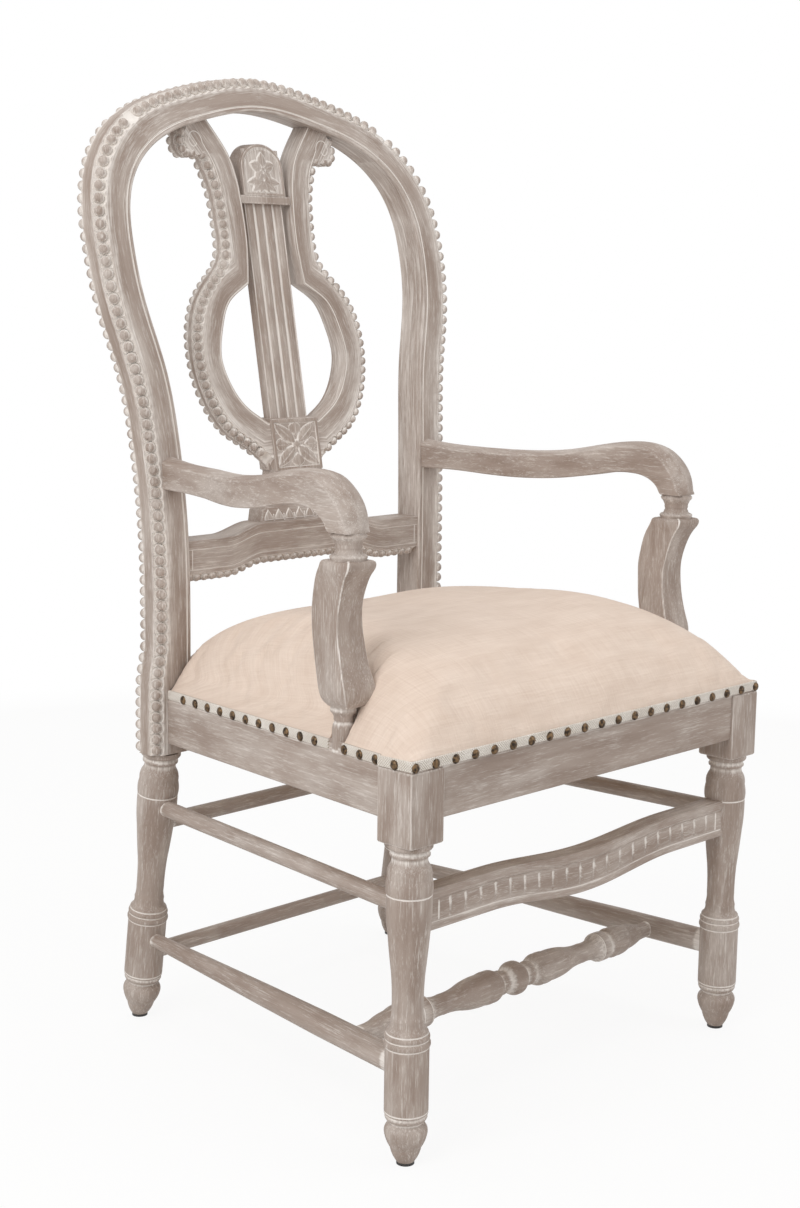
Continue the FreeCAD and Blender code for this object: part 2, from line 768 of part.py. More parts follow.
band = sideBand("hoop_band", 0.0, s.postDepth, "frontSpread * 1.5")
halfHoop = common("half_hoop", hoopSawn, band)
crestBlank = box("crest_blank", ("crestHalf + 1", "postFront + postDepth * 6", "bowRadius"),
                 ("-1", "0", "seatTop + crossRise"))
postShape = cut("post_sawn", halfHoop, [crestBlank])
crestRight = common("crest_sawn", halfHoop, crestBlank)

# The rear leg is turned on a raked axis below the post and cut flat over its glide.
rearTurning = turned("rear_leg_lathe", legStations)
rearTop = Vector(s.rearSpread, rearAxis(s.blockBottom), s.blockBottom)
rake = Rotation(Vector(1, 0, 0), s.rakeAngle)
rearTurning.Placement = Placement(Vector(0, -s.originBack, 0) + rearTop - rake.multVec(Vector(0, 0, s.blockBottom)), rake)
toeLow = Vector(s.rearSpread, rearAxis(0), 0)
toeHigh = Vector(s.rearSpread, rearAxis(4 * s.glideHeight), 4 * s.glideHeight)
rearToe = rodAt("rear_toe", "toeRadius", toeLow, toeHigh)
floorBox = box("floor_cut", ("2 * bellyRadius", "4 * bellyRadius", "2 * glideHeight"),
               ("rearSpread - bellyRadius", str(rearAxis(0) - 2 * s.bellyRadius), "-glideHeight"))

# cross rail, sawn with a raised middle, tenoned into the posts

crossLow = s.seatTop + s.crossRise
crossTopHeight = crossLow + s.crossTall
lyreBase = crossTopHeight + s.crossLift


def crossView(x, z):
    return Vector(x, s.crossFront, z)


def rampUp(side, low):
    # a soft step from the end's height up to the raised middle
    a = crossView(side * (s.crossFlat + s.crossRamp), low)
    b = crossView(side * s.crossFlat, low + s.crossLift)
    return a, b, curve([a, b], Vector(-side, 0, 0), Vector(-side, 0, 0))


topRight, topFlatRight, topRampRight = rampUp(1, crossTopHeight)
topLeft, topFlatLeft, topRampLeft = rampUp(-1, crossTopHeight)
lowRight, lowFlatRight, lowRampRight = rampUp(1, crossLow)
lowLeft, lowFlatLeft, lowRampLeft = rampUp(-1, crossLow)
crossFace = outlineFace([
    [topFlatLeft, topFlatRight], topRampRight,
    [topRight, crossView(postInner, crossTopHeight), crossView(postInner, crossLow), lowRight], lowRampRight,
    [lowFlatRight, lowFlatLeft], lowRampLeft,
    [lowLeft, crossView(-postInner, crossLow), crossView(-postInner, crossTopHeight), topLeft], topRampLeft,
])
crossSawn = extrusion("cross_rail_sawn", crossFace, (0, 1, 0), "crossDepth")
crossTenon, crossMortise = tenon(
    "cross_rail_tenon", ("tenonDepth", "tenonThick", "crossTall - 2 * tenonShoulder"),
    ("lineHalf - lineToEdge", "crossFront + (crossDepth - tenonThick) / 2",
     "seatTop + crossRise + tenonShoulder"))

# arms: sawn to the side outline and to the plan

supportFoot = seatPlane(s.supportFootSet)
armLow = supportFoot + s.supportPostRise + s.supportLowNeckRise + s.supportBlockRise + s.supportUpNeckRise
armRear = s.postFront + s.postDepth / 3
armSpan = s.postFront - s.supportTopSet


def armSide(y, rise):
    return Vector(0, y, armLow + rise)


knuckleRear = s.knuckleFront + s.knuckleLong
armTopCurve = curve([
    armSide(armRear, s.armRearTop),
    armSide(s.supportTopSet + 0.68 * armSpan, s.armDipTop),
    armSide(s.supportTopSet + 0.4 * armSpan, s.armDipTop + 5.5),
    armSide(s.supportTopSet + 0.17 * armSpan, s.armCrestTop),
    armSide(s.supportTopSet + 0.04 * armSpan, s.armCrestTop * 0.83),
    armSide(s.knuckleFront + 6, s.knuckleRound),
])
armLowCurve = curve([
    armSide(knuckleRear, 0),
    armSide(knuckleRear + 18, s.armHollowLow - 2),
    armSide(knuckleRear + 44, s.armHollowLow),
    armSide(knuckleRear + 130, s.armBellyLow + 5),
    armSide(s.supportTopSet + 0.6 * armSpan, s.armBellyLow),
    armSide(armRear, s.armRearLow),
])
knuckleNose = Part.Arc(armSide(s.knuckleFront + 6, s.knuckleRound), armSide(s.knuckleFront, s.knuckleRound / 2),
                       armSide(s.knuckleFront + 3, 0)).toShape()
armSideFace = outlineFace([
    armTopCurve, knuckleNose, [armSide(s.knuckleFront + 3, 0), armSide(knuckleRear, 0)], armLowCurve,
    [armSide(armRear, s.armRearLow), armSide(armRear, s.armRearTop)],
])
armSideBand = extrusion("arm_side_band", armSideFace, (1, 0, 0), "frontSpread * 1.5")


def armPlan(share, side):
    # a point of the arm's edge at this share of the way forward, side 1 outer and -1 inner
    x = s.armRearX + (s.armFrontX - s.armRearX) * share + s.armBow * 4 * share * (1 - share)
    rearPart = max(0.0, 1 - share / 0.5)
    frontPart = max(0.0, share / 0.5 - 1)
    wide = s.armRearWide * rearPart + s.armFrontWide * frontPart + s.armMidWide * (1 - rearPart - frontPart)
    return Vector(x + side * wide / 2, armRear - (armRear - s.supportTopSet) * share, armLow - s.armRearTop)


armOuter = [armPlan(share, 1) for share in (0.0, 0.25, 0.5, 0.75, 1.0)]
armInner = [armPlan(share, -1) for share in (0.0, 0.25, 0.5, 0.75, 1.0)]
knuckleOuter = Vector(armOuter[-1].x - 1, s.knuckleFront, armOuter[-1].z)
knuckleInner = Vector(armInner[-1].x + 1, s.knuckleFront, armOuter[-1].z)
armPlanFace = outlineFace([
    curve(armOuter), [armOuter[-1], knuckleOuter, knuckleInner, armInner[-1]], curve(armInner),
    [armInner[0], armOuter[0]],
])
armPlanBand = extrusion("arm_plan_band", armPlanFace, (0, 0, 1), "4 * armRearTop")
armSawn = common("arm_sawn", armSideBand, armPlanBand)

# A screw holds each arm from behind the post, under a wooden plug.
armScrewHeight = armLow + (s.armRearTop + s.armRearLow) / 2
postRear = s.postFront + s.postDepth + s.bowRadius - math.sqrt(
    s.bowRadius ** 2 - (armScrewHeight - s.seatTop - s.postStraight) ** 2)
screwHeadY = postRear - s.armPlugTall
screwTipY = screwHeadY - s.armScrewLength


def armRod(name, radius, near, far):
    return rodAt(name, radius, (s.armRearX, near, armScrewHeight), (s.armRearX, far, armScrewHeight))


armScrew = armRod("arm_screw", "armScrewRadius", screwTipY, screwHeadY)
armScrewHole = armRod("arm_screw_hole", "armScrewRadius + fitGap", screwTipY, screwHeadY)
armPlug = armRod("arm_plug", "armPlugRadius", screwHeadY, postRear)
armPlugHole = armRod("arm_plug_hole", "armPlugRadius + fitGap", screwHeadY, postRear + s.armPlugTall)
node(fuse("arm_screw_pair", [armScrew, mirror(armScrew, "arm_screw_other")]), "arm_screws")
node(fuse("arm_plug_pair", [armPlug, mirror(armPlug, "arm_plug_other")]), "arm_plugs")

# arm supports: a turned foot and neck with a swept block between them

footStations = [
    ("supportPinRadius", str(supportFoot - s.supportTenonTall), 0.0),
    ("supportPinRadius", str(supportFoot), 0.0),
    ("supportPostRadius", str(supportFoot), 0.0),
    ("supportPostRadius", str(supportFoot) + " + supportPostRise", -0.12),
    ("supportLowNeckRadius + 2", str(supportFoot) + " + supportPostRise + supportLowNeckRise", 0.0),
    ("supportLowNeckRadius", str(supportFoot) + " + supportPostRise + supportLowNeckRise + 6", 0.0),
]
supportFootTurning = place(turned("support_foot", footStations), "supportFootX", "supportFootSet")
footHole = place(turned("support_foot_hole", [(r + " + fitGap", z, bulge) for r, z, bulge in footStations[:4]]),
                 "supportFootX", "supportFootSet")
blockLow = supportFoot + s.supportPostRise + s.supportLowNeckRise
blockHigh = blockLow + s.supportBlockRise
neckStations = [
    ("supportUpNeckRadius", str(blockHigh - 6), 0.0),
    ("supportBaseRadius", str(blockHigh), 0.2),
    ("supportBaseRadius", str(blockHigh + s.supportUpNeckRise * 0.16), 0.0),
    ("supportUpNeckRadius", str(blockHigh + s.supportUpNeckRise * 0.42), -0.1),
    ("supportBaseRadius - 1.5", str(blockHigh + s.supportUpNeckRise * 0.86), 0.2),
    ("supportBaseRadius - 2.5", str(armLow), 0.0),
    ("supportPinRadius", str(armLow), 0.0),
    ("supportPinRadius", str(armLow) + " + supportPinTall", 0.0),
]
supportNeck = place(turned("support_neck", neckStations), "supportTopX", "supportTopSet")
armPinHole = rodAt("arm_pin_hole", "supportPinRadius + fitGap", (s.supportTopX, s.supportTopSet, armLow),
                   (s.supportTopX, s.supportTopSet, armLow + s.supportPinTall + s.fitGap))


def supportEdges(low, middle, high, view):
    # both edges of the swept block in one view, flaring from its middle to its ends
    mid = blockLow + 0.62 * s.supportBlockRise
    ease = blockLow + 0.08 * s.supportBlockRise
    ends = []
    for side in (-1, 1):
        wide = side * (s.supportHalf + s.supportFlare)
        ends.append([view(low + 0.72 * wide, blockLow), view(low + wide, ease),
                     view(middle + side * s.supportHalf, mid), view(high + wide, blockHigh)])
    return outlineFace([curve(ends[0]), curve(ends[1]), [ends[0][0], ends[1][0]], [ends[0][-1], ends[1][-1]]])


supportFront = supportEdges(s.supportFootX, (s.supportFootX + s.supportTopX) / 2, s.supportTopX,
                            lambda x, z: Vector(x, 0, z))
supportSide = supportEdges(s.supportTopSet + s.supportFlare, s.supportTopSet + s.supportSweep + s.supportFlare,
                           s.supportTopSet, lambda y, z: Vector(0, y, z))
supportBlock = common("support_block",
                      extrusion("support_front_band", supportFront, (0, 1, 0), "postFront"),
                      extrusion("support_side_band", supportSide, (1, 0, 0), "frontSpread * 1.5"))
pair(fuse("support_body", [supportFootTurning, supportBlock, supportNeck]), "arm_support")
armBody = cut("arm_coped", armSawn, [postShape, armScrewHole, armPinHole])
pair(armBody, "arm")

# back posts with their legs

crestAt = lineCurve.Curve.parameter(hoopView(s.crestHalf, s.seatTop + lineRise(8)))
crestAlong = lineCurve.tangentAt(crestAt)
crestOut = Vector(crestAlong.z, 0, -crestAlong.x)
crestDowelMid = lineCurve.valueAt(crestAt) + crestOut * ((s.lineToRim - s.lineToEdge) / 2)
crestLift = crestDowelMid.z - s.seatTop - s.postStraight
crestDowelY = s.postFront + s.postDepth / 2 + s.bowRadius - math.sqrt(s.bowRadius ** 2 - crestLift ** 2)
crestDowels = []
crestHoles = []
for index, shift in enumerate((-0.5, 0.5)):
    middle = Vector(crestDowelMid.x, crestDowelY + shift * s.crestDowelSpread, crestDowelMid.z)
    reach = crestAlong * (s.dowelLength / 2)
    slack = crestAlong * (s.dowelLength / 2 + s.fitGap)
    crestDowels.append(rodAt("crest_dowel_%d" % index, "dowelRadius", middle - reach, middle + reach))
    crestHoles.append(rodAt("crest_hole_%d" % index, "dowelRadius + fitGap", middle - slack, middle + slack))
crestDowels += [mirror(dowel, dowel.Name + "_left") for dowel in crestDowels]
node(fuse("crest_dowel_group", crestDowels), "crest_dowels")

postBody = fuse("rear_post_body", [postShape, rearTurning, rearToe])
postTools = [floorBox, sideRearMortise, rearMortise, crossMortise, upperHole, lowerHole, glideHoles[1],
             armScrewHole, armPlugHole] + rearHoles + crestHoles
pair(cut("rear_post", postBody, postTools), "rear_post")

# lyre: boards that lean back, drawn from the front on the leaning plane

leanSlope = math.tan(math.radians(s.lyreLean))


def leaning(x, z, behind=0.0):
    return Vector(x, s.crossFront + s.lyreSet + (z - lyreBase) * leanSlope + behind, z)


def lyreBoard(name, pieces, thick):
    return extrusion(name, outlineFace(pieces), (0, 1, 0), thick)


def rectangle(half, low, high, behind):
    corners = [leaning(-half, low, behind), leaning(half, low, behind),
               leaning(half, high, behind), leaning(-half, high, behind)]
    return [corners + corners[:1]]


rosetteLow = lyreBase + s.pedestalTall
rosetteHigh = rosetteLow + s.rosetteTall
bowlFloor = rosetteHigh - s.bowlFloorDrop
ledgeLow = rosetteHigh + s.columnRise
ledgeHigh = ledgeLow + s.tabletLedge

outer = [leaning(x, z) for x, z in outlinePoints("bowlOuter", rosetteLow)]
scroll = [outer[-1]] + [leaning(x, z) for x, z in outlinePoints("armScroll", outer[-1].z)]
inner = [leaning(x, z) for x, z in outlinePoints("bowlInner", bowlFloor)]
waist = [leaning(x, z) for x, z in outlinePoints("waistInner", inner[-1].z)]
lyreTop = hoopTop - s.crownToRim
halfPieces = [
    [leaning(0, rosetteLow), leaning(s.pedestalHalf, rosetteLow), outer[0]], curve(outer), curve(scroll),
    [scroll[-1], leaning(scroll[-1].x, lyreTop), leaning(waist[-1].x, lyreTop), waist[-1]], curve(waist),
    curve(inner), [inner[0], leaning(0, bowlFloor), leaning(0, rosetteLow)],
]
lyreRight = lyreBoard("lyre_half", halfPieces, "lyreThick")
lyreWhole = fuse("lyre_blank", [lyreRight, mirror(lyreRight, "lyre_half_left")])
rosetteHousing = lyreBoard("rosette_housing", rectangle(s.pedestalHalf + s.fitGap, rosetteLow, rosetteHigh, -s.lyreThick),
                           "lyreThick + columnRecess")
columnLow = bowlFloor - s.columnHouse
columnHigh = ledgeLow + s.columnHouse
columnBack = s.columnRecess + s.columnThick
columnSlot = lyreBoard("column_housing", rectangle(s.columnHalf + s.fitGap, columnLow - s.fitGap,
                                                   columnHigh + s.fitGap, s.columnRecess - s.fitGap),
                       "columnThick + 2 * fitGap")
ledgeSlot = lyreBoard("ledge_housing", rectangle(s.ledgeHalf + s.ledgeHouse + s.fitGap, ledgeLow - s.fitGap,
                                                 ledgeHigh + s.fitGap, s.tabletSet - s.fitGap),
                      "tabletThick + 2 * fitGap")


def lyreDowel(name, half, height, behind):
    # an upright dowel across a joint of the lyre at this height
    y = leaning(0, height, behind).y
    reach = s.dowelLength / 2
    slack = reach + s.fitGap
    peg = rodAt(name, "dowelRadius", (half, y, height - reach), (half, y, height + reach))
    hole = rodAt(name + "_hole", "dowelRadius + fitGap", (half, y, height - slack), (half, y, height + slack))
    return [peg, mirror(peg, name + "_left")], [hole, mirror(hole, name + "_hole_left")]


footPegs, footHoles = lyreDowel("foot_dowel", s.footDowelHalf, lyreBase, s.lyreThick / 2)
neckPegs, neckHoles = lyreDowel("neck_dowel", s.lyreDowelHalf, rosetteLow, (s.lyreThick + s.columnRecess) / 2)
crownParam = lineCurve.Curve.parameter(hoopView(s.armDowelHalf, lyreTop))
crownHeight = lineCurve.valueAt(crownParam).z - s.lineToEdge
crownPegs, crownHoles = lyreDowel("crown_dowel", s.armDowelHalf, crownHeight, s.lyreThick / 2)
node(fuse("lyre_dowel_group", footPegs + neckPegs + crownPegs), "lyre_dowels")

crestBody = fuse("crest_blank_whole", [crestRight, mirror(crestRight, "crest_left")])
lyreCut = cut("lyre_cut", lyreWhole, [crestBody, rosetteHousing, columnSlot, ledgeSlot] + neckHoles + crownHoles)
node(lyreCut, "lyre_frame")
crestTools = crestHoles + [mirror(hole, hole.Name + "_left") for hole in crestHoles] + crownHoles
node(cut("crest_cut", crestBody, crestTools), "crest_rail")

crossTenons = [crossTenon, mirror(crossTenon, "cross_rail_tenon_left")]
crossBody = fuse("cross_rail_body", [crossSawn] + crossTenons)
node(cut("cross_rail_cut", crossBody, footHoles), "cross_rail")

bandHigh = lyreBase + s.pedestalBand
flareCurves = []
for side in (1, -1):
    a, b = leaning(side * s.pedestalFlare, bandHigh), leaning(side * s.pedestalHalf, rosetteLow)
    flareCurves.append(curve([a, b], Vector(-side, 0.4 * leanSlope, 0.4), Vector(0, leanSlope, 1)))
pedestalPieces = [
    [leaning(s.pedestalFlare, bandHigh), leaning(s.pedestalFoot, lyreBase), leaning(-s.pedestalFoot, lyreBase),
     leaning(-s.pedestalFlare, bandHigh)],
    flareCurves[1], [leaning(-s.pedestalHalf, rosetteLow), leaning(s.pedestalHalf, rosetteLow)], flareCurves[0],
]
pedestalBlank = lyreBoard("pedestal_blank", pedestalPieces, "lyreThick")
node(cut("pedestal_cut", pedestalBlank, footHoles + neckHoles), "lyre_pedestal")
node(lyreBoard("rosette", rectangle(s.pedestalHalf, rosetteLow, rosetteHigh, -s.rosetteProud),
               "rosetteProud + columnRecess"), "rosette_block")

# The column is a leaning board with three grooves down its front.
columnProfile = [(-s.columnHalf, s.columnRecess)]
for x in (-s.columnHalf / 2, 0.0, s.columnHalf / 2):
    columnProfile += [(x - s.reedHalf, s.columnRecess), (x, s.columnRecess + s.reedDepth), (x + s.reedHalf, s.columnRecess)]
columnProfile += [(s.columnHalf, s.columnRecess), (s.columnHalf, columnBack), (-s.columnHalf, columnBack)]
columnPoints = [leaning(x, columnLow, behind) for x, behind in columnProfile]
column = extrusion("column_reeded", outlineFace([columnPoints + columnPoints[:1]]), (0, leanSlope, 1),
                   "(columnRise + bowlFloorDrop + 2 * columnHouse) / cos(lyreLean * 1 deg)")
node(column, "lyre_column")

tabletSpring = ledgeHigh + s.tabletTall
tongue = s.ledgeHalf + s.ledgeHouse
tabletLeft, tabletRight = leaning(-s.tabletHalf, tabletSpring, s.tabletSet), leaning(s.tabletHalf, tabletSpring, s.tabletSet)
dome = Part.Arc(tabletLeft, leaning(0, tabletSpring + s.tabletDome, s.tabletSet), tabletRight).toShape()
tabletPieces = [dome, [
    tabletRight, leaning(s.tabletHalf, ledgeHigh, s.tabletSet), leaning(tongue, ledgeHigh, s.tabletSet),
    leaning(tongue, ledgeLow, s.tabletSet), leaning(-tongue, ledgeLow, s.tabletSet),
    leaning(-tongue, ledgeHigh, s.tabletSet), leaning(-s.tabletHalf, ledgeHigh, s.tabletSet), tabletLeft,
]]
node(cut("tablet_cut", lyreBoard("tablet_blank", tabletPieces, "tabletThick"), [columnSlot]), "lyre_tablet")

# front stretcher, sawn with a sagging middle and coped to the front legs


def apronView(x, z):
    return Vector(x, -s.apronThick / 2, z)


def apronEdge(base, sag):
    # level, sagging towards the middle, and level again
    points = [apronView(x, base - sag * math.cos(math.pi * x / (2 * s.apronReach)) ** 2)
              for x in (-s.apronReach, -s.apronReach / 2, 0, s.apronReach / 2, s.apronReach)]
    return curve(points, Vector(1, 0, 0), Vector(1, 0, 0))


apronHalf = s.frontSpread
apronLow = s.apronTop - s.apronTall
apronFace = outlineFace([
    apronEdge(s.apronTop, s.apronSag), apronEdge(apronLow, s.apronSag + s.apronSwell),
    [apronView(s.apronReach, s.apronTop), apronView(apronHalf, s.apronTop), apronView(apronHalf, apronLow),
     apronView(s.apronReach, apronLow)],
    [apronView(-s.apronReach, s.apronTop), apronView(-apronHalf, s.apronTop), apronView(-apronHalf, apronLow),
     apronView(-s.apronReach, apronLow)],
])
apronSawn = extrusion("front_stretcher_sawn", apronFace, (0, 1, 0), "apronThick")
apronCope = rodAt("front_stretcher_cope", "swellRadius", (s.frontSpread, 0, s.blockBottom), (s.frontSpread, 0, 0))
apronCoped = cut("front_stretcher_coped", apronSawn, [apronCope, mirror(apronCope, "front_stretcher_cope_left")])
apronTenons = [apronTenon, mirror(apronTenon, "front_stretcher_tenon_left")]
node(fuse("front_stretcher_body", [apronCoped] + apronTenons), "front_stretcher")
pair(upperSide, "side_stretcher_upper")
pair(cut("side_stretcher_bored", lowerSide, [middleHole]), "side_stretcher_lower")

# seat frame: rails, corner blocks and their screws


def bothSides(points):
    # a plan outline on the right, closed by its mirror on the left
    return points + [(-x, y) for x, y in reversed(points)]


def railInner(y):
    return railFace(y) - railAcross


def screwAt(name, start, along):
    # a countersunk wood screw with its hole, start at its tip
    a = Vector(*start)
    head = a + along * (s.screwLength - s.screwHeadTall)
    tip = a + along * s.screwLength
    shank = rodAt(name, "screwRadius", a, tip)
    cap = rodAt(name + "_head", "screwHeadRadius", head, tip)
    bore = rodAt(name + "_bore", "screwRadius + fitGap", a - along * s.fitGap, tip)
    sink = rodAt(name + "_sink", "screwHeadRadius + fitGap", head - along * s.fitGap, tip + along * s.screwLength)
    return fuse(name + "_body", [shank, cap]), bore, sink


blockLift = s.rebateHeight - s.seatGap - s.boardThick - s.cornerTall
cornerPlans = {
    "corner_block_front": [
        (blockInner, frontInner), (blockInner - s.cornerLeg, frontInner),
        (railInner(halfBlock + s.cornerLeg), halfBlock + s.cornerLeg), (railInner(halfBlock), halfBlock),
        (blockInner, halfBlock),
    ],
    "corner_block_rear": [
        (postInner, rearRailFront), (postInner - s.cornerLeg, rearRailFront),
        (railInner(s.postFront - s.cornerLeg), s.postFront - s.cornerLeg), (railInner(s.postFront), s.postFront),
        (postInner, s.postFront),
    ],
}
halfLeg = s.cornerLeg / 2
screwStarts = {
    "corner_block_front": [((blockInner - halfLeg, frontInner - s.screwBite), Vector(0, 1, 0)),
                           ((railInner(halfBlock + halfLeg) + s.screwBite, halfBlock + halfLeg), Vector(-1, 0, 0))],
    "corner_block_rear": [((postInner - halfLeg, rearRailFront + s.screwBite), Vector(0, -1, 0)),
                          ((railInner(s.postFront - halfLeg) + s.screwBite, s.postFront - halfLeg), Vector(-1, 0, 0))],
}
screws = []
railBores = {"front": [], "side": [], "rear": []}
for label, plan in cornerPlans.items():
    blockTools = []
    for index, ((x, y), along) in enumerate(screwStarts[label]):
        spot = (x, y, seatPlane(y) + blockLift + s.cornerTall / 2)
        screw, bore, sink = screwAt("%s_screw_%d" % (label, index), spot, along)
        screws += [screw, mirror(screw, screw.Name + "_left")]
        blockTools += [bore, sink]
        owner = "side" if index else ("front" if label.endswith("front") else "rear")
        railBores[owner].append(bore)
    cornerBlank = plank(label + "_blank", plan, blockLift, "cornerTall")
    pair(cut(label + "_cut", cornerBlank, blockTools), label)
node(fuse("screw_group", screws), "corner_block_screws")

upperTall = "rebateHeight - seatGap"
sidePlan = [(railFace(halfBlock), halfBlock), (railFace(s.postFront), s.postFront),
            (railInner(s.postFront), s.postFront), (railInner(halfBlock), halfBlock)]
sideUpper = [(railFace(halfBlock, s.rebateDepth), halfBlock), (railFace(s.postFront, s.rebateDepth), s.postFront),
             sidePlan[2], sidePlan[3]]
sideBody = fuse("side_rail_body", [
    plank("side_rail_lower", sidePlan, -s.railHeight, "railHeight"),
    plank("side_rail_upper", sideUpper, 0.0, upperTall), sideFrontTenon, sideRearTenon,
])
pair(cut("side_rail_cut", sideBody, [footHole, nailHoles] + railBores["side"]), "side_rail")

frontLower = box("front_rail_lower", ("2 * (frontSpread - blockSide / 2)", "railThick", "railHeight"),
                 ("blockSide / 2 - frontSpread", "railRecess - blockSide / 2", "seatTop - railHeight"))
lap = 2.0
frontUpper = plank("front_rail_upper", bothSides([(blockInner, s.rebateDepth - halfBlock), (blockInner, frontInner)]),
                   -lap, upperTall + " + %s" % lap)
frontBody = fuse("front_rail_body", [frontLower, frontUpper, frontTenon, mirror(frontTenon, "front_tenon_left")])
frontTools = [nailHoles] + railBores["front"] + [mirror(bore, bore.Name + "_left") for bore in railBores["front"]]
node(cut("front_rail_cut", frontBody, frontTools), "front_rail")

rearRailRear = rearRailFront + s.rearRailThick
rearLower = plank("rear_rail_lower", bothSides([(postInner, rearRailFront), (postInner, rearRailRear)]),
                  -s.railHeight, "railHeight")
rearUpper = plank("rear_rail_upper", bothSides([(postInner, rearRailFront), (postInner, rearRailRear - s.rebateDepth)]),
                  0.0, upperTall)
rearBody = fuse("rear_rail_body", [rearLower, rearUpper, rearTenon, mirror(rearTenon, "rear_tenon_left")])
rearTools = [nailHoles] + railBores["rear"] + [mirror(bore, bore.Name + "_left") for bore in railBores["rear"]]
node(cut("rear_rail_cut", rearBody, rearTools), "rear_rail")

# seat board and cushion

gap = s.boardGap
boardRight = [
    (blockInner - gap, frontInner + gap), (blockInner - gap, halfBlock + gap),
    (railInner(halfBlock) - gap, halfBlock + gap), (railInner(s.postFront) - gap, s.postFront - gap),
    (postInner - gap, s.postFront - gap), (postInner - gap, rearRailFront - gap),
]
node(plank("board", bothSides(boardRight), s.rebateHeight - s.seatGap - s.boardThick, "boardThick"), "seat_board")


def cushionSection(y):
    # half width, height and side height of the crowned cushion at this distance
    rearReach = rearRailRear - s.rebateDepth
    middle = (rearReach - halfBlock) / 2
    share = abs(y - middle) / (rearReach - middle)
    height = s.cushionCrown * (1 - share ** 2.7) ** 0.51
    wide = railFace(max(y, halfBlock), s.rebateDepth)
    base = seatPlane(y) + s.rebateHeight

    def at(across, up):
        return Vector(wide * across, y, base + height * up)

    # flat base, drawn-in sides, round shoulders and a shallow crown
    edges = [Part.makeLine(at(-1, 0), at(1, 0)), Part.makeLine(at(1, 0), at(0.975, 0.3))]
    edges.append(Part.Arc(at(0.975, 0.3), at(0.89, 0.62), at(0.74, 0.9)).toShape())
    edges.append(Part.Arc(at(0.74, 0.9), at(0, 1.0), at(-0.74, 0.9)).toShape())
    edges.append(Part.Arc(at(-0.74, 0.9), at(-0.89, 0.62), at(-0.975, 0.3)).toShape())
    edges.append(Part.makeLine(at(-0.975, 0.3), at(-1, 0)))
    return Part.Wire(edges)


cushionFront = s.rebateDepth - halfBlock
cushionLong = rearRailRear - s.rebateDepth - cushionFront
cushionWires = [cushionSection(cushionFront + cushionLong * share)
                for share in (0.012, 0.05, 0.14, 0.3, 0.5, 0.7, 0.86, 0.95, 0.988)]
cushionBlank = feature("cushion_blank", Part.makeLoft(cushionWires, True, False))
notchWide = "supportHalf + supportFlare + notchGap"
armNotch = box("arm_notch", ("2 * supportHalf * 2", "2 * (%s)" % notchWide, "cushionCrown * 2"),
               ("supportFootX - (%s)" % notchWide, str((s.supportTopSet + s.supportFlare)) + " - (%s)" % notchWide,
                "seatTop - seatDrop"))
postNotch = box("post_notch", ("postDepth * 2", "postDepth * 2", "cushionCrown * 2"),
                ("lineHalf - lineToEdge - notchGap", "postFront - notchGap", "seatTop - seatDrop"))
notches = [armNotch, postNotch, mirror(armNotch, "arm_notch_left"), mirror(postNotch, "post_notch_left")]
node(cut("cushion_notched", cushionBlank, notches), "seat_cushion")

# woven tape along the rebate, in stretches between the posts and the arm supports

tapeInner = s.frontSpread + halfBlock - s.rebateDepth
tapeOuter = tapeInner + s.trimThick
tapeBack = -halfBlock + s.rebateDepth
frontTape = [(tapeOuter, tapeFront), (tapeOuter, halfBlock), (tapeInner, halfBlock), (tapeInner, tapeBack),
             (-tapeInner, tapeBack), (-tapeInner, halfBlock), (-tapeOuter, halfBlock), (-tapeOuter, tapeFront)]
tapeTall = "rebateHeight - 2 * trimInset"
postClear = s.supportPostRadius + s.seatGap
tapes = [plank("tape_front", frontTape, s.trimInset, tapeTall)]
for index, (start, end) in enumerate([(halfBlock, s.supportFootSet - postClear),
                                      (s.supportFootSet + postClear, s.postFront)]):
    stretch = [(railFace(start, s.rebateDepth), start), (railFace(start, s.rebateDepth) + s.trimThick, start),
               (railFace(end, s.rebateDepth) + s.trimThick, end), (railFace(end, s.rebateDepth), end)]
    tape = plank("tape_side_%d" % index, stretch, s.trimInset, tapeTall)
    tapes += [tape, mirror(tape, tape.Name + "_left")]
tapeRear = rearRailRear - s.rebateDepth
tapes.append(plank("tape_rear", bothSides([(postInner, tapeRear), (postInner, tapeRear + s.trimThick)]),
                   s.trimInset, tapeTall))
node(cut("tape_bored", fuse("tape_group", tapes), [nailHoles]), "seat_trim")

# check every object, then write one file for each node

doc.recompute()
failed = [obj.Label for obj in doc.Objects if "Invalid" in obj.State or "Error" in obj.State]
for obj in nodes:
    if obj.Shape.isNull() or not obj.Shape.isValid():
        failed.append(obj.Label)
if failed:
    raise RuntimeError("not sound: " + ", ".join(sorted(set(failed))))
os.makedirs("parts", exist_ok=True)
for obj in nodes:
    obj.Shape.exportStep("parts/%s.step" % obj.Label)
    print("%-28s solids %3d  volume %9.0f" % (obj.Label, len(obj.Shape.Solids), obj.Shape.Volume))
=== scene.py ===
import bpy
import math
import numpy as np
from mathutils import Matrix, Vector


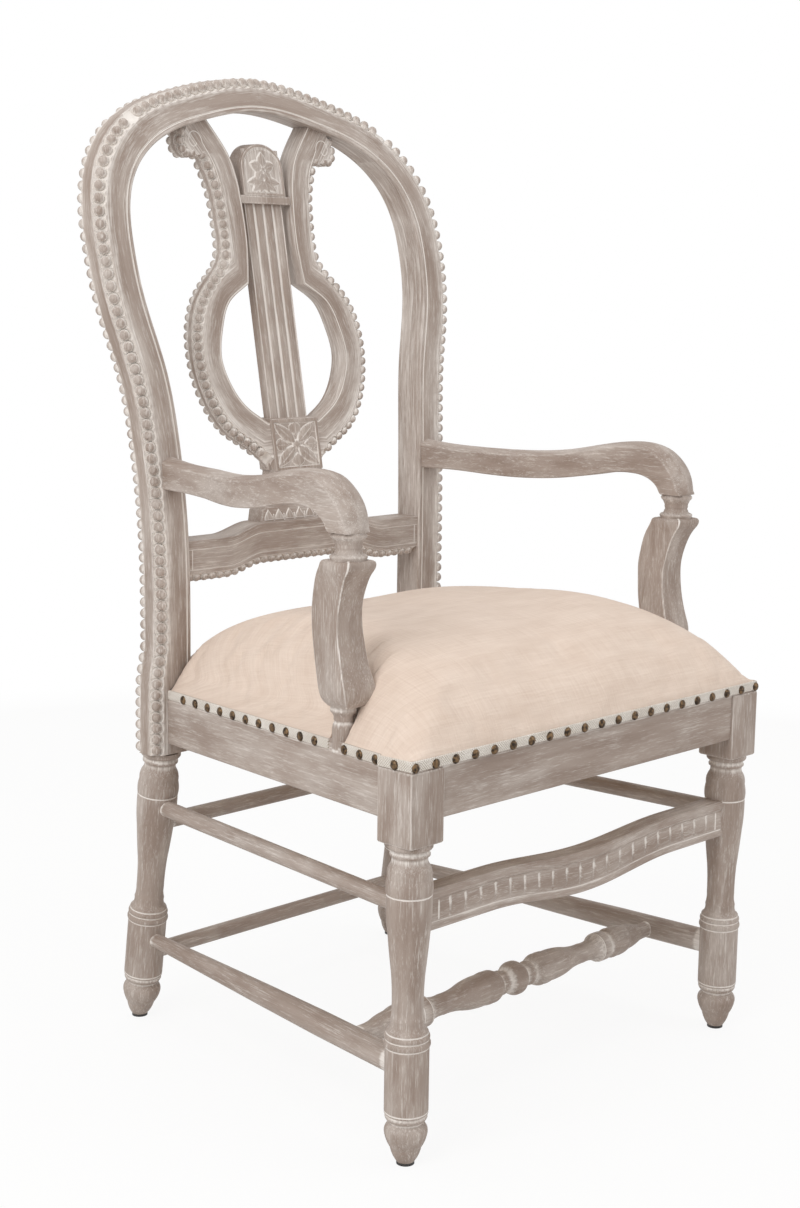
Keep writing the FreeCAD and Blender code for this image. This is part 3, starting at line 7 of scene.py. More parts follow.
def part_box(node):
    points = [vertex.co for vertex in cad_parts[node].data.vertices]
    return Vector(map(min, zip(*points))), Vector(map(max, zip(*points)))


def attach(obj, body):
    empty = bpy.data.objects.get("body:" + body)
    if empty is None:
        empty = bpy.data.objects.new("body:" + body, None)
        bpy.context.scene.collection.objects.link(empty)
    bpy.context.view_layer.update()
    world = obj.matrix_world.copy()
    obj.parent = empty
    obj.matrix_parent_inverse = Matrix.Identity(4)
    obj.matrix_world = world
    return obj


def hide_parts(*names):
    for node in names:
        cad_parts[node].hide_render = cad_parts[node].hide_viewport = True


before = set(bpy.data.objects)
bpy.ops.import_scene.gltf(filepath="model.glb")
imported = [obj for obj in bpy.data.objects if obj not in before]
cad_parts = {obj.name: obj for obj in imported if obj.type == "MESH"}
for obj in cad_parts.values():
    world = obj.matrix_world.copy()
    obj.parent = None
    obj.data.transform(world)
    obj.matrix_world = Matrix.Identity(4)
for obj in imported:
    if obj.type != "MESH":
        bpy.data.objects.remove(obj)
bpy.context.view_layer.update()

# Lyre back armchair in limed wood with a linen seat.
# Shapes are worked out in millimetres: x to the right, y rearwards from the front leg axes, z up.

chair = {
    "frontSpread": 285.8, "rearSpread": 231.9, "blockHalf": 25.35, "blockBottom": 362.6, "seatTop": 445.0,
    "seatDrop": 12.5, "seatRun": 442.65, "railFrontHalf": 307.85, "railRearHalf": 239.5, "rake": 7.67,
    "postFront": 468.0, "postDepth": 43.0, "straightTop": 560.0, "bow": 1868.0, "rebate": 1.6,
    "tapeTall": 12.5, "apronHalf": 13.0, "rearSet": 2.5,
}
# the frame's origin lies this far behind the front leg axes
originBack = -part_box("front_stretcher")[0].y * 1000 - chair["apronHalf"]
rearTop = chair["postFront"] + chair["postDepth"] / 2 + chair["rearSet"]
rakeSlope = math.tan(math.radians(chair["rake"]))
railTaper = (chair["railFrontHalf"] - chair["railRearHalf"]) / chair["seatRun"]


def seatPlane(y):
    # top of the rails: a straight fall from the front blocks to the back posts
    return chair["seatTop"] - chair["seatDrop"] * (y - chair["blockHalf"]) / chair["seatRun"]


def railFace(y, inset=0.0):
    # half width of the side rail's outer face: a straight taper rearwards
    return chair["railFrontHalf"] - railTaper * (y - chair["blockHalf"]) - inset


def rearAxis(height):
    # how far back the raked rear leg's axis lies at a height
    return rearTop + (chair["blockBottom"] - height) * rakeSlope


def bowedY(z, deep):
    # the back's board: upright to straightTop, then an arc that leans rearwards
    rise = np.maximum(z - chair["straightTop"], 0.0)
    return chair["postFront"] + chair["bow"] - np.sqrt((chair["bow"] - deep) ** 2 - rise ** 2)


# Lines and meshes

def smoothLine(points, step, start=None, end=None):
    # cubic spline by chord length through the points, its slopes solved together, sampled at even steps
    p = np.asarray(points, float)
    h = np.linalg.norm(np.diff(p, axis=0), axis=1)
    n = len(p)
    matrix = np.zeros((n, n))
    right = np.zeros((n, p.shape[1]))
    i = np.arange(1, n - 1)
    chord = np.diff(p, axis=0) / h[:, None]
    matrix[i, i - 1] = h[i]
    matrix[i, i] = 2 * (h[i - 1] + h[i])
    matrix[i, i + 1] = h[i - 1]
    right[i] = 3 * (h[i][:, None] * chord[i - 1] + h[i - 1][:, None] * chord[i])
    matrix[0, 0] = matrix[-1, -1] = 1.0
    right[0] = chord[0] if start is None else start
    right[-1] = chord[-1] if end is None else end
    slope = np.linalg.solve(matrix, right)
    knots = np.concatenate([[0.0], np.cumsum(h)])
    t = np.linspace(0, knots[-1], 40 * n)
    k = np.clip(np.searchsorted(knots, t, "right") - 1, 0, n - 2)
    u = ((t - knots[k]) / h[k])[:, None]
    hk = h[k][:, None]
    line = (p[k] * (1 + 2 * u) * (1 - u) ** 2 + slope[k] * hk * u * (1 - u) ** 2
            + p[k + 1] * u ** 2 * (3 - 2 * u) + slope[k + 1] * hk * u ** 2 * (u - 1))
    return evenly(line, step)


def runOf(line):
    # length along a line at each of its points
    return np.concatenate([[0.0], np.cumsum(np.linalg.norm(np.diff(line, axis=0), axis=1))])


def evenly(line, step):
    # the same line with evenly spaced points
    line = np.asarray(line, float)
    run = runOf(line)
    spots = np.linspace(0, run[-1], max(2, int(round(run[-1] / step)) + 1))
    return np.stack([np.interp(spots, run, line[:, k]) for k in range(line.shape[1])], -1)


def sideways(line):
    # unit normals of a flat line, to the right of its run
    along = np.gradient(line, axis=0)
    along /= np.linalg.norm(along, axis=1)[:, None]
    return np.stack([along[:, 1], -along[:, 0]], -1)


def softStep(x):
    # smooth rise from 0 to 1
    x = np.clip(x, 0.0, 1.0)
    return x * x * (3 - 2 * x)


def gridQuads(rows, columns, closed=False):
    # corners of the quads between neighbouring rows and columns
    i = np.arange(rows - 1)[:, None] * columns
    j = np.arange(columns if closed else columns - 1)[None, :]
    k = (j + 1) % columns
    return np.stack([i + j, i + k, i + k + columns, i + j + columns], -1).reshape(-1, 4)


def skirted(rows, columns):
    # a grid's border in one round, a second ring numbered after it, and all quads with the skirt between
    index = np.arange(rows * columns).reshape(rows, columns)
    border = np.concatenate([index[0, :-1], index[:-1, -1], index[-1, :0:-1], index[:0:-1, 0]])
    ring = rows * columns + np.arange(len(border))
    skirt = np.stack([np.roll(border, -1), border, ring, np.roll(ring, -1)], -1)
    return border, ring, np.concatenate([gridQuads(rows, columns), skirt])


def part(points, quads, caps, board, lime=0.0):
    # one closed skin, turned the other way out where it would enclose a negative volume
    points = np.asarray(points, float).reshape(-1, 3)
    quads = np.asarray(quads).reshape(-1, 4)
    a, b, c, d = (points[quads[:, k]] for k in range(4))
    volume = np.einsum("ij,ij->", a, np.cross(b, c)) + np.einsum("ij,ij->", a, np.cross(c, d))
    for cap in caps:
        fan = points[np.asarray(cap)]
        volume += np.einsum("ij,ij->", np.broadcast_to(fan[0], fan[1:-1].shape), np.cross(fan[1:-1], fan[2:]))
    if volume < 0:
        quads = quads[:, ::-1]
        caps = [np.asarray(cap)[::-1] for cap in caps]
    board = points if board is None else np.asarray(board, float).reshape(-1, 3)
    lime = np.broadcast_to(np.asarray(lime, float).reshape(-1) if np.ndim(lime) else lime, len(points))
    return {"points": points, "quads": quads, "caps": [np.asarray(cap) for cap in caps], "board": board,
            "lime": lime}


def tube(grid, board, lime):
    # rows of closed loops joined into a skin with both ends filled
    rows, columns = grid.shape[:2]
    ends = [np.arange(columns)[::-1], (rows - 1) * columns + np.arange(columns)]
    return part(grid, gridQuads(rows, columns, True), ends, board, lime)


def moved(piece, change):
    # the same skin with its points changed by a function of whole arrays
    return part(change(piece["points"]), piece["quads"], piece["caps"], piece["board"], piece["lime"])


def mirrored(piece):
    # the same skin on the other side of the chair
    return moved(piece, lambda p: p * [-1, 1, 1])


def finishMesh(mesh, sharp):
    mesh.polygons.foreach_set("use_smooth", np.ones(len(mesh.polygons), bool))
    mesh.set_sharp_from_angle(angle=math.radians(sharp))
    mesh.update()


def buildPiece(name, parts, finish, slot, nodes, sharp=38.0):
    # joins skins into one object: places in metres, grain coordinates and lime kept as attributes
    sizes = [len(one["points"]) for one in parts]
    starts = np.concatenate([[0], np.cumsum(sizes)[:-1]]).astype(int)
    points = np.concatenate([one["points"] for one in parts]) - [0, originBack, 0]
    quads = np.concatenate([one["quads"] + start for one, start in zip(parts, starts)])
    caps = [(cap + start).tolist() for one, start in zip(parts, starts) for cap in one["caps"]]
    mesh = bpy.data.meshes.new(name)
    mesh.from_pydata(points / 1000, [], quads.tolist() + caps)
    board = np.concatenate([one["board"] for one in parts]) / 1000
    board = board + np.array([0.37, 0.73, 0.19]) * (len(name) + sum(map(ord, name)) % 17)
    boardData = mesh.attributes.new("board", "FLOAT_VECTOR", "POINT").data
    boardData.foreach_set("vector", board.astype("f4").ravel())
    lime = np.concatenate([one["lime"] for one in parts])
    mesh.attributes.new("lime", "FLOAT", "POINT").data.foreach_set("value", lime.astype("f4"))
    finishMesh(mesh, sharp)
    piece = bpy.data.objects.new(name, mesh)
    bpy.context.scene.collection.objects.link(piece)
    mesh.materials.append(finish)
    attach(piece, "root")
    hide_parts(*nodes)
    print("piece", name, len(mesh.polygons))
    return piece


# Finishes

def paint(r, g, b):
    # a colour picked in sRGB numbers, as linear light
    return tuple(((v / 255 + 0.055) / 1.055) ** 2.4 for v in (r, g, b)) + (1.0,)


def addNode(tree, kind, settings=None, inputs=None):
    # a node with its settings; inputs are plain values or other nodes' outputs
    item = tree.nodes.new(kind)
    for key, value in (settings or {}).items():
        setattr(item, key, value)
    for key, value in (inputs or {}).items():
        if isinstance(value, bpy.types.NodeSocket):
            tree.links.new(value, item.inputs[key])
        else:
            item.inputs[key].default_value = value
    return item


def maths(tree, operation, *values):
    item = addNode(tree, "ShaderNodeMath", {"operation": operation}, dict(enumerate(values)))
    return item.outputs[0]


def noise(tree, vector, scale, detail=3.0, roughness=0.55):
    values = {"Vector": vector, "Scale": scale, "Detail": detail, "Roughness": roughness}
    return addNode(tree, "ShaderNodeTexNoise", {}, values).outputs[0]


def stretch(tree, vector, x, y, z):
    # a pattern's coordinates multiplied by each axis
    values = {0: vector, 1: (x, y, z)}
    return addNode(tree, "ShaderNodeVectorMath", {"operation": "MULTIPLY"}, values).outputs[0]


def between(tree, value, low, high):
    # 0 below low, 1 above high, smooth between
    values = {"Value": value, "From Min": low, "From Max": high}
    return addNode(tree, "ShaderNodeMapRange", {"interpolation_type": "SMOOTHSTEP"}, values).outputs[0]


def blendColour(tree, share, first, second):
    settings = {"data_type": "RGBA", "clamp_factor": True}
    return addNode(tree, "ShaderNodeMix", settings, {0: share, 6: first, 7: second}).outputs[2]


def newGroup(name, inputs, outputs):
    # a shader group with named sockets: (name, kind, value)
    group = bpy.data.node_groups.new(name, "ShaderNodeTree")
    for label, kind, value in inputs:
        socket = group.interface.new_socket(label, in_out="INPUT", socket_type="NodeSocket" + kind)
        if value is not None:
            socket.default_value = value
    for label, kind in outputs:
        group.interface.new_socket(label, in_out="OUTPUT", socket_type="NodeSocket" + kind)
    return group, addNode(group, "NodeGroupInput"), addNode(group, "NodeGroupOutput")


# noises of the limed grain: scale per metre, how far drawn out along the board, detail, roughness
grainNoise = {
    "pores": (1150, 0.05, 3, 0.75), "streaks": (330, 0.055, 4, 0.7), "figure": (62, 0.10, 3, 0.5),
    "patches": (26, 0.40, 3, 0.55),
}
# how pale the lime shows in the pores, as a veil over patches, and in marked recesses
limeShare = {"pores": 0.58, "veil": 0.22, "recess": 0.92}


def limedGrainGroup():
    # wood colour from noise drawn out along the board; pale lime sits in the pores and in marked recesses
    group, given, result = newGroup("limedGrain", [
        ("Board", "Vector", None), ("Lime", "Float", 0.0), ("Streaks", "Float", 1.0),
        ("Dark", "Color", None), ("Light", "Color", None), ("Wax", "Color", None),
    ], [("Colour", "Color"), ("Roughness", "Float"), ("Height", "Float")])
    board = given.outputs["Board"]
    pores, streaks, figure, patches = [
        noise(group, stretch(group, board, 1, 1, drawn), scale, detail, roughness)
        for scale, drawn, detail, roughness in grainNoise.values()]
    mixed = maths(group, "ADD", maths(group, "MULTIPLY", pores, 0.5), maths(group, "MULTIPLY", streaks, 0.5))
    shifted = maths(group, "MULTIPLY_ADD", maths(group, "SUBTRACT", patches, 0.5), 0.30, mixed)
    mask = maths(group, "MULTIPLY", between(group, shifted, 0.47, 0.68), given.outputs["Streaks"])
    wood = blendColour(group, between(group, figure, 0.34, 0.66), given.outputs["Dark"],
                       given.outputs["Light"])
    veil = maths(group, "MULTIPLY", between(group, patches, 0.42, 0.72), limeShare["veil"])
    inPores = maths(group, "MULTIPLY", mask, limeShare["pores"])
    limed = blendColour(group, maths(group, "MAXIMUM", inPores, veil), wood, given.outputs["Wax"])
    uneven = maths(group, "MULTIPLY_ADD", maths(group, "SUBTRACT", streaks, 0.5), -1.7, given.outputs["Lime"])
    filled = maths(group, "MULTIPLY", between(group, uneven, 0.12, 0.85), limeShare["recess"])
    colour = blendColour(group, filled, limed, given.outputs["Wax"])
    group.links.new(colour, result.inputs["Colour"])
    group.links.new(maths(group, "MULTIPLY_ADD", mask, 0.14, 0.56), result.inputs["Roughness"])
    group.links.new(maths(group, "MULTIPLY_ADD", pores, -0.5, streaks), result.inputs["Height"])
    return group


def weaveGroup():
    # two sets of threads as sine ridges over and under each other, with thicker slubs along both; the Shade
    # output is painted shade and light from this relief, darker in its low places and paler on its high ones
    group, given, result = newGroup("weave", [
        ("Cloth", "Vector", None), ("Threads", "Float", 1.0), ("Slubs", "Float", 1.0),
        ("Ridges", "Float", 0.35),
    ], [("Shade", "Float"), ("Height", "Float")])
    cloth = given.outputs["Cloth"]
    wobble = maths(group, "MULTIPLY", noise(group, cloth, 160, 2), 0.0012)
    parts = addNode(group, "ShaderNodeSeparateXYZ", {}, {0: cloth}).outputs
    waves = []
    for axis in (0, 1):
        run = maths(group, "ADD", parts[axis], wobble)
        turns = maths(group, "MULTIPLY", maths(group, "MULTIPLY", run, given.outputs["Threads"]), 2 * math.pi)
        waves.append(maths(group, "SINE", turns))
    cross = maths(group, "MULTIPLY", waves[0], waves[1])
    warpSlub = noise(group, stretch(group, cloth, 1, 0.04, 1), 520, 3)
    weftSlub = noise(group, stretch(group, cloth, 0.04, 1, 1), 460, 3)
    slubs = maths(group, "MULTIPLY", maths(group, "SUBTRACT", maths(group, "ADD", warpSlub, weftSlub), 1.0),
                  given.outputs["Slubs"])
    height = maths(group, "MULTIPLY_ADD", cross, given.outputs["Ridges"], slubs)
    group.links.new(height, result.inputs["Height"])
    # painted shade: the weave's low places give a darker share of the cloth's colour, its high places a paler
    # one
    group.links.new(maths(group, "MULTIPLY_ADD", height, 0.5, 0.5), result.inputs["Shade"])
    return group


def newFinish(name):
    material = bpy.data.materials.new(name)
    material.use_nodes = True
    tree = material.node_tree
    return material, tree, tree.nodes["Principled BSDF"]


def roughen(tree, shader, height, strength, distance):
    # a bump from a height
    values = {"Height": height, "Strength": strength, "Distance": distance}
    tree.links.new(addNode(tree, "ShaderNodeBump", {}, values).outputs[0], shader.inputs["Normal"])


wood = {
    "dark": paint(144, 127, 116), "light": paint(162, 147, 137), "wax": paint(230, 224, 218),
    "streaks": 1.0, "bump": 0.55, "depth": 0.0004,
}
grainGroup = limedGrainGroup()
threadGroup = weaveGroup()


def limedWood(name, turn=None):
    # the limed finish on grain kept with the piece, or on Object coordinates turned to run along a CAD board
    material, tree, shader = newFinish(name)
    if turn is None:
        board = addNode(tree, "ShaderNodeAttribute", {"attribute_name": "board"}).outputs["Vector"]
        lime = addNode(tree, "ShaderNodeAttribute", {"attribute_name": "lime"}).outputs["Fac"]
    else:
        spot = addNode(tree, "ShaderNodeTexCoord").outputs["Object"]
        board = addNode(tree, "ShaderNodeMapping", {}, {"Vector": spot, "Rotation": turn}).outputs[0]
        lime = 0.0
    values = {"Board": board, "Lime": lime, "Streaks": wood["streaks"],
              "Dark": wood["dark"], "Light": wood["light"], "Wax": wood["wax"]}
    grain = addNode(tree, "ShaderNodeGroup", {"node_tree": grainGroup}, values).outputs
    tree.links.new(grain["Colour"], shader.inputs["Base Color"])
    tree.links.new(grain["Roughness"], shader.inputs["Roughness"])
    shader.inputs["Specular IOR Level"].default_value = 0.35
    roughen(tree, shader, grain["Height"], wood["bump"], wood["depth"])
    return material


limed = limedWood("limed_wood_finish")
limedPlug = limedWood("limed_end_grain", (math.pi / 2, 0, 0))


def limedPiece(name, parts, nodes, **options):
    buildPiece(name, parts, limed, "limed_wood", nodes, **options)


def rawWood(name, dark, light, turn, scale):
    # plain unfinished timber: rings and fibres from drawn-out noise on Object coordinates
    material, tree, shader = newFinish(name)
    spot = addNode(tree, "ShaderNodeTexCoord").outputs["Object"]
    board = addNode(tree, "ShaderNodeMapping", {}, {"Vector": spot, "Rotation": turn}).outputs[0]
    fibres = noise(tree, stretch(tree, board, 1, 1, 0.05), scale * 8, 4)
    rings = noise(tree, stretch(tree, board, 1, 1, 0.12), scale, 3)
    share = maths(tree, "MULTIPLY_ADD", fibres, 0.5, maths(tree, "MULTIPLY", rings, 0.5))
    colour = blendColour(tree, between(tree, share, 0.35, 0.65), dark, light)
    tree.links.new(colour, shader.inputs["Base Color"])
    tree.links.new(maths(tree, "MULTIPLY_ADD", fibres, 0.2, 0.6), shader.inputs["Roughness"])
    roughen(tree, shader, fibres, 0.4, 0.0004)
    return material


# the deep colours are partly the cloth's darker tone in cloudy patches and partly painted shade in the
# weave's low places
cloth = {
    "linen": paint(231, 214, 200), "linenDeepAndShade": paint(211, 190, 174), "threads": 620.0, "slubs": 1.9,
    "tape": paint(250, 245, 238), "tapeDeepAndShade": paint(192, 180, 166), "tapeThreads": 300.0,
}


def wovenFinish(name, pale, deep, threads, slubs, ridges, strength):
    # cloth colour from a cloudy darker tone and painted shade in the weave's low places, and relief from the
    # weave, on the piece's own map
    material, tree, shader = newFinish(name)
    spot = addNode(tree, "ShaderNodeUVMap", {"uv_map": "cloth"}).outputs[0]
    values = {"Cloth": spot, "Threads": threads, "Slubs": slubs, "Ridges": ridges}
    weave = addNode(tree, "ShaderNodeGroup", {"node_tree": threadGroup}, values).outputs
    cloudy = noise(tree, stretch(tree, spot, 0.35, 1, 1), 42, 4)
    # the share of the deep colour: cloudy tone, plus painted shade from the weave
    share = maths(tree, "MULTIPLY_ADD", maths(tree, "SUBTRACT", cloudy, 0.5), 1.1, weave["Shade"])
    tree.links.new(blendColour(tree, share, deep, pale), shader.inputs["Base Color"])
    tree.links.new(maths(tree, "MULTIPLY_ADD", weave["Shade"], 0.1, 0.82), shader.inputs["Roughness"])
    shader.inputs["Sheen Weight"].default_value = 0.12
    shader.inputs["Sheen Roughness"].default_value = 0.5
    shader.inputs["Specular IOR Level"].default_value = 0.2
    roughen(tree, shader, weave["Height"], strength, 0.0005)
    return material


linen = wovenFinish("linen_weave", cloth["linen"], cloth["linenDeepAndShade"], cloth["threads"], cloth["slubs"],
                    0.35, 0.5)
tapeCloth = wovenFinish("woven_tape_cloth", cloth["tape"], cloth["tapeDeepAndShade"], cloth["tapeThreads"], 0.5,
                        1.3, 0.9)


def metalFinish(name, bright, dark, metallic, roughness, scale):
    # metal or plastic, darker where a cloudy mask falls
    material, tree, shader = newFinish(name)
    spot = addNode(tree, "ShaderNodeTexCoord").outputs["Object"]
    cloudy = noise(tree, spot, scale, 4, 0.6)
    colour = blendColour(tree, between(tree, cloudy, 0.38, 0.62), dark, bright)
    tree.links.new(colour, shader.inputs["Base Color"])
    tree.links.new(maths(tree, "MULTIPLY_ADD", cloudy, 0.25, roughness), shader.inputs["Roughness"])
    shader.inputs["Metallic"].default_value = metallic
    roughen(tree, shader, cloudy, 0.25, 0.0003)
    return material


nailBrass = metalFinish("aged_brass_patina", paint(122, 98, 72), paint(52, 43, 36), 0.8, 0.3, 260)
zincSteel = metalFinish("zinc_steel", paint(176, 176, 172), paint(120, 118, 112), 0.9, 0.3, 180)
nylon = metalFinish("dark_nylon", paint(58, 55, 53), paint(42, 40, 39), 0.0, 0.45, 300)
beech = rawWood("raw_beech", paint(186, 150, 118), paint(214, 182, 150), (0, math.pi / 2, 0), 60)
ply = rawWood("birch_ply_face", paint(196, 166, 128), paint(222, 198, 162), (math.pi / 2, 0, 0), 26)

keptNodes = {
    "corner_block_front_left": beech, "corner_block_front_right": beech, "corner_block_rear_left": beech,
    "corner_block_rear_right": beech, "crest_dowels": beech, "lyre_dowels": beech, "seat_board": ply,
    "corner_block_screws": zincSteel, "arm_screws": zincSteel, "arm_plugs": limedPlug, "foot_glides": nylon,
}
for nodeName, finish in keptNodes.items():
    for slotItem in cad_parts[nodeName].material_slots:
        slotItem.material = finish
print("finishes made")


# Turned, sawn and swept forms

def profileLine(stations, step=2.0):
    # stations are (radius, height, bulge, lime); bulge bows the stretch above as a parabola by that share
    rows = []
    for (r0, z0, bulge, lime0), (r1, z1, _, lime1) in zip(stations, stations[1:]):
        length = math.hypot(r1 - r0, z1 - z0)
        count = max(1, int(math.ceil(length / step))) if bulge else 1
        u = np.arange(count) / count
        bow = 4 * u * (1 - u) * bulge * length
        across = np.array([z1 - z0, r0 - r1]) / max(length, 1e-9)
        rows.append(np.stack([r0 + (r1 - r0) * u + across[0] * bow, z0 + (z1 - z0) * u + across[1] * bow,
                              lime0 + (lime1 - lime0) * u], -1))
    rows.append([[stations[-1][0], stations[-1][1], stations[-1][3]]])
    return np.concatenate(rows)


def incise(profile, grooves, width=0.9, depth=0.7):
    # cuts narrow limed grooves round a turned profile at these heights
    r, z, lime = profile.T
    for spot in grooves:
        extra = spot + width * np.array([-1.25, -0.5, 0.0, 0.5, 1.25])
        radius = np.interp(extra, z, r) - depth * np.array([0.0, 0.75, 1.0, 0.75, 0.0])
        keep = (z < extra[0]) | (z > extra[-1])
        order = np.argsort(np.concatenate([z[keep], extra]), kind="stable")
        r = np.concatenate([r[keep], radius])[order]
        lime = np.concatenate([lime[keep], [0.15, 1.0, 1.0, 1.0, 0.15]])[order]
        z = np.concatenate([z[keep], extra])[order]
    return np.stack([r, z, lime], -1)


def lathe(profile, sides):
    # radius turned about the z axis, grain along z
    turn = np.linspace(0, 2 * math.pi, sides, endpoint=False)
    r, z, lime = (column[:, None] for column in profile.T)
    grid = np.stack([r * np.cos(turn), r * np.sin(turn), z + 0 * turn], -1)
    return tube(grid, grid, lime + 0 * turn[None, :])


def layAlong(start, end):
    # moves a skin made along z so that its foot is at start and it points to end
    a = np.asarray(start, float)
    w = np.asarray(end, float) - a
    w /= np.linalg.norm(w)
    u = np.cross([0, 0, 1.0] if abs(w[2]) < 0.9 else [1.0, 0, 0], w)
    u /= np.linalg.norm(u)
    turn = np.stack([u, np.cross(w, u), w])
    return lambda p: p @ turn + a


def band(near, far, rows, place, grain="along", shape=None):
    # a board between two lines of one view: rows are (edge, offset from it, depth, lime), a closed section
    gap = far - near
    wide = np.linalg.norm(gap, axis=1)[:, None]
    across = gap / np.maximum(wide, 1e-9)
    run = runOf((near + far) / 2)
    table = np.array(rows, float)
    edge, offset, deep, lime = (np.repeat(table[None, :, k], len(near), 0) for k in range(4))
    if shape:
        offset, deep, lime = shape(run[:, None], edge, offset, deep, lime, wide)
    reach = np.where(edge > 0.5, wide - offset, offset)
    spots = near[:, None, :] + across[:, None, :] * reach[..., None]
    grid = place(spots[..., 0], spots[..., 1], deep)
    if grain == "along":
        board = np.stack([reach, deep, run[:, None] + 0 * reach], -1)
    else:
        board = np.stack([spots[..., 1], deep, spots[..., 0]], -1)
    return tube(grid, board, lime)


# a bead's rings in degrees from its crown, the lime on each, and its number of sides; the pale ring at the
# foot is lime, while the lime on the upper rings is partly painted light that lightens beads darkened by
# shade in their cups
beadForm = {"rings": [112, 90, 66, 42, 16], "limes": [1.0, 0.9, 0.5, 0.22, 0.3], "sides": 10}


def beadSet(centres, outward, radius):
    # one small turned bead copied to each centre, its crown facing outward; lime gathers at its foot
    centres = np.asarray(centres, float)
    outward = np.broadcast_to(np.asarray(outward, float), centres.shape)
    w = outward / np.linalg.norm(outward, axis=1)[:, None]
    u = np.cross(w, [0.3, 0.1, 1.0])
    u /= np.linalg.norm(u, axis=1)[:, None]
    v = np.cross(w, u)
    sides = beadForm["sides"]
    polar = np.radians(beadForm["rings"])
    turn = np.linspace(0, 2 * math.pi, sides, endpoint=False)
    x = radius * np.sin(polar)[:, None] * np.cos(turn)
    y = radius * np.sin(polar)[:, None] * np.sin(turn)
    z = radius * np.cos(polar)[:, None] + 0 * turn
    local = np.stack([x, y, z], -1).reshape(-1, 3)
    spots = (centres[:, None] + local[None, :, 0:1] * u[:, None] + local[None, :, 1:2] * v[:, None]
             + local[None, :, 2:3] * w[:, None])
    count, size = spots.shape[:2]
    quads = gridQuads(len(polar), sides, True)[None] + (np.arange(count) * size)[:, None, None]
    ring = np.arange(sides)
    caps = [ring[::-1] + k * size for k in range(count)]
    caps += [size - sides + ring + k * size for k in range(count)]
    # painted light: the upper rings' lime lightens beads that their cups shade; the foot ring's lime is real
    lime = np.repeat(np.array(beadForm["limes"]), sides)
    return part(spots, quads, caps, spots, np.tile(lime, count))


cornerPoints = 5


def roundLoop(halfX, halfY, radius):
    # a rectangle's loop with rounded corners
    quarter = np.linspace(0, math.pi / 2, cornerPoints)
    corners = []
    for k, (sx, sy) in enumerate([(1, 1), (-1, 1), (-1, -1), (1, -1)]):
        turn = quarter + k * math.pi / 2
        corners.append(np.stack([sx * (halfX - radius) + radius * np.cos(turn),
                                 sy * (halfY - radius) + radius * np.sin(turn)], -1))
    return np.concatenate(corners)


def insetLoop(loop, amount):
    # a closed flat outline moved inwards by amount, corners mitred; the outline runs anticlockwise
    before = loop - np.roll(loop, 1, 0)
    after = np.roll(loop, -1, 0) - loop
    before /= np.maximum(np.linalg.norm(before, axis=1), 1e-9)[:, None]
    after /= np.maximum(np.linalg.norm(after, axis=1), 1e-9)[:, None]
    n1 = np.stack([-before[:, 1], before[:, 0]], -1)
    n2 = np.stack([-after[:, 1], after[:, 0]], -1)
    return loop + amount * (n1 + n2) / np.maximum(1 + np.sum(n1 * n2, 1), 0.35)[:, None]


def plate(loop, rows, place):
    # a flat board: its outline inset by each row's amount at that depth, as (inset, depth, lime)
    loop = np.asarray(loop, float)
    grids, boards, limes = [], [], []
    for inset, deep, lime in rows:
        flat = insetLoop(loop, inset)
        grids.append(place(flat[:, 0], flat[:, 1], np.full(len(flat), float(deep))))
        boards.append(np.stack([flat[:, 0], np.full(len(flat), float(deep)), flat[:, 1]], -1))
        limes.append(np.full(len(flat), float(lime)))
    return tube(np.stack(grids), np.stack(boards), np.stack(limes))


def carvedField(x, z, height, lime, place, deep, skirt):
    # a carved face: height over a grid, its border carried back by the skirt and closed behind
    border, ring, quads = skirted(*x.shape)
    face = np.stack([x, deep - height, z], -1).reshape(-1, 3)
    back = face[border] * [1, 0, 1] + [0, deep + skirt, 0]
    flat = np.concatenate([face, back])
    points = place(flat[:, 0], flat[:, 2], flat[:, 1])
    limes = np.concatenate([lime.ravel(), lime.ravel()[border]])
    return part(points, quads, [ring[::-1]], flat, limes)


def limeLine(points, place):
    # a fine limed line lying on a face, as a low strip with a rounded top
    line = np.asarray(points, float)
    side = sideways(line)
    wide, rise, sunk = 1.2, 0.25, 0.6
    grid = []
    for share, deep in [(-0.5, sunk), (-0.42, -rise * 0.8), (0.0, -rise), (0.42, -rise * 0.8), (0.5, sunk)]:
        spots = line + side * (share * wide)
        grid.append(place(spots[:, 0], spots[:, 1], np.full(len(line), deep)))
    return tube(np.stack(grid, 1), None, 1.0)


# Legs

leg = {
    "stations": [
        (9.8, 3.0, 0.06, 0.1), (17.4, 20.0, 0.05, 0.0), (23.8, 36.0, 0.17, 0.0), (18.6, 47.6, -0.1, 0.3),
        (18.8, 49.6, 0.1, 0.9), (22.9, 53.6, 0.22, 0.0), (22.4, 57.6, 0.0, 0.7), (24.2, 59.6, 0.0, 0.1),
        (24.4, 62.0, 0.0, 0.0), (24.4, 132.0, 0.0, 0.0), (24.4, 135.0, 0.2, 0.0), (24.0, 143.6, 0.2, 0.1),
        (23.2, 150.8, 0.25, 0.1), (21.0, 154.4, -0.1, 0.2), (18.8, 166.0, -0.05, 0.0),
        (17.4, 180.0, -0.012, 0.0), (18.6, 218.0, 0.004, 0.0), (23.2, 264.0, 0.02, 0.0),
        (25.2, 306.0, 0.06, 0.0), (24.4, 325.0, 0.1, 0.0), (20.4, 341.0, -0.05, 0.2),
        (19.6, 345.4, -0.2, 0.5), (22.0, 349.4, 0.2, 0.0), (21.0, 353.0, -0.3, 0.7),
        (23.6, 357.0, 0.25, 0.1), (23.9, 362.4, 0.0, 0.1), (23.9, 364.0, 0.0, 0.1),
    ],
    "grooves": [61.4, 135.2, 144.0, 151.2, 306.0],
    "edge": 1.8, "foot": 3.0, "level": 30.0,
}
turnedLeg = lathe(incise(profileLine(leg["stations"]), leg["grooves"]), 44)


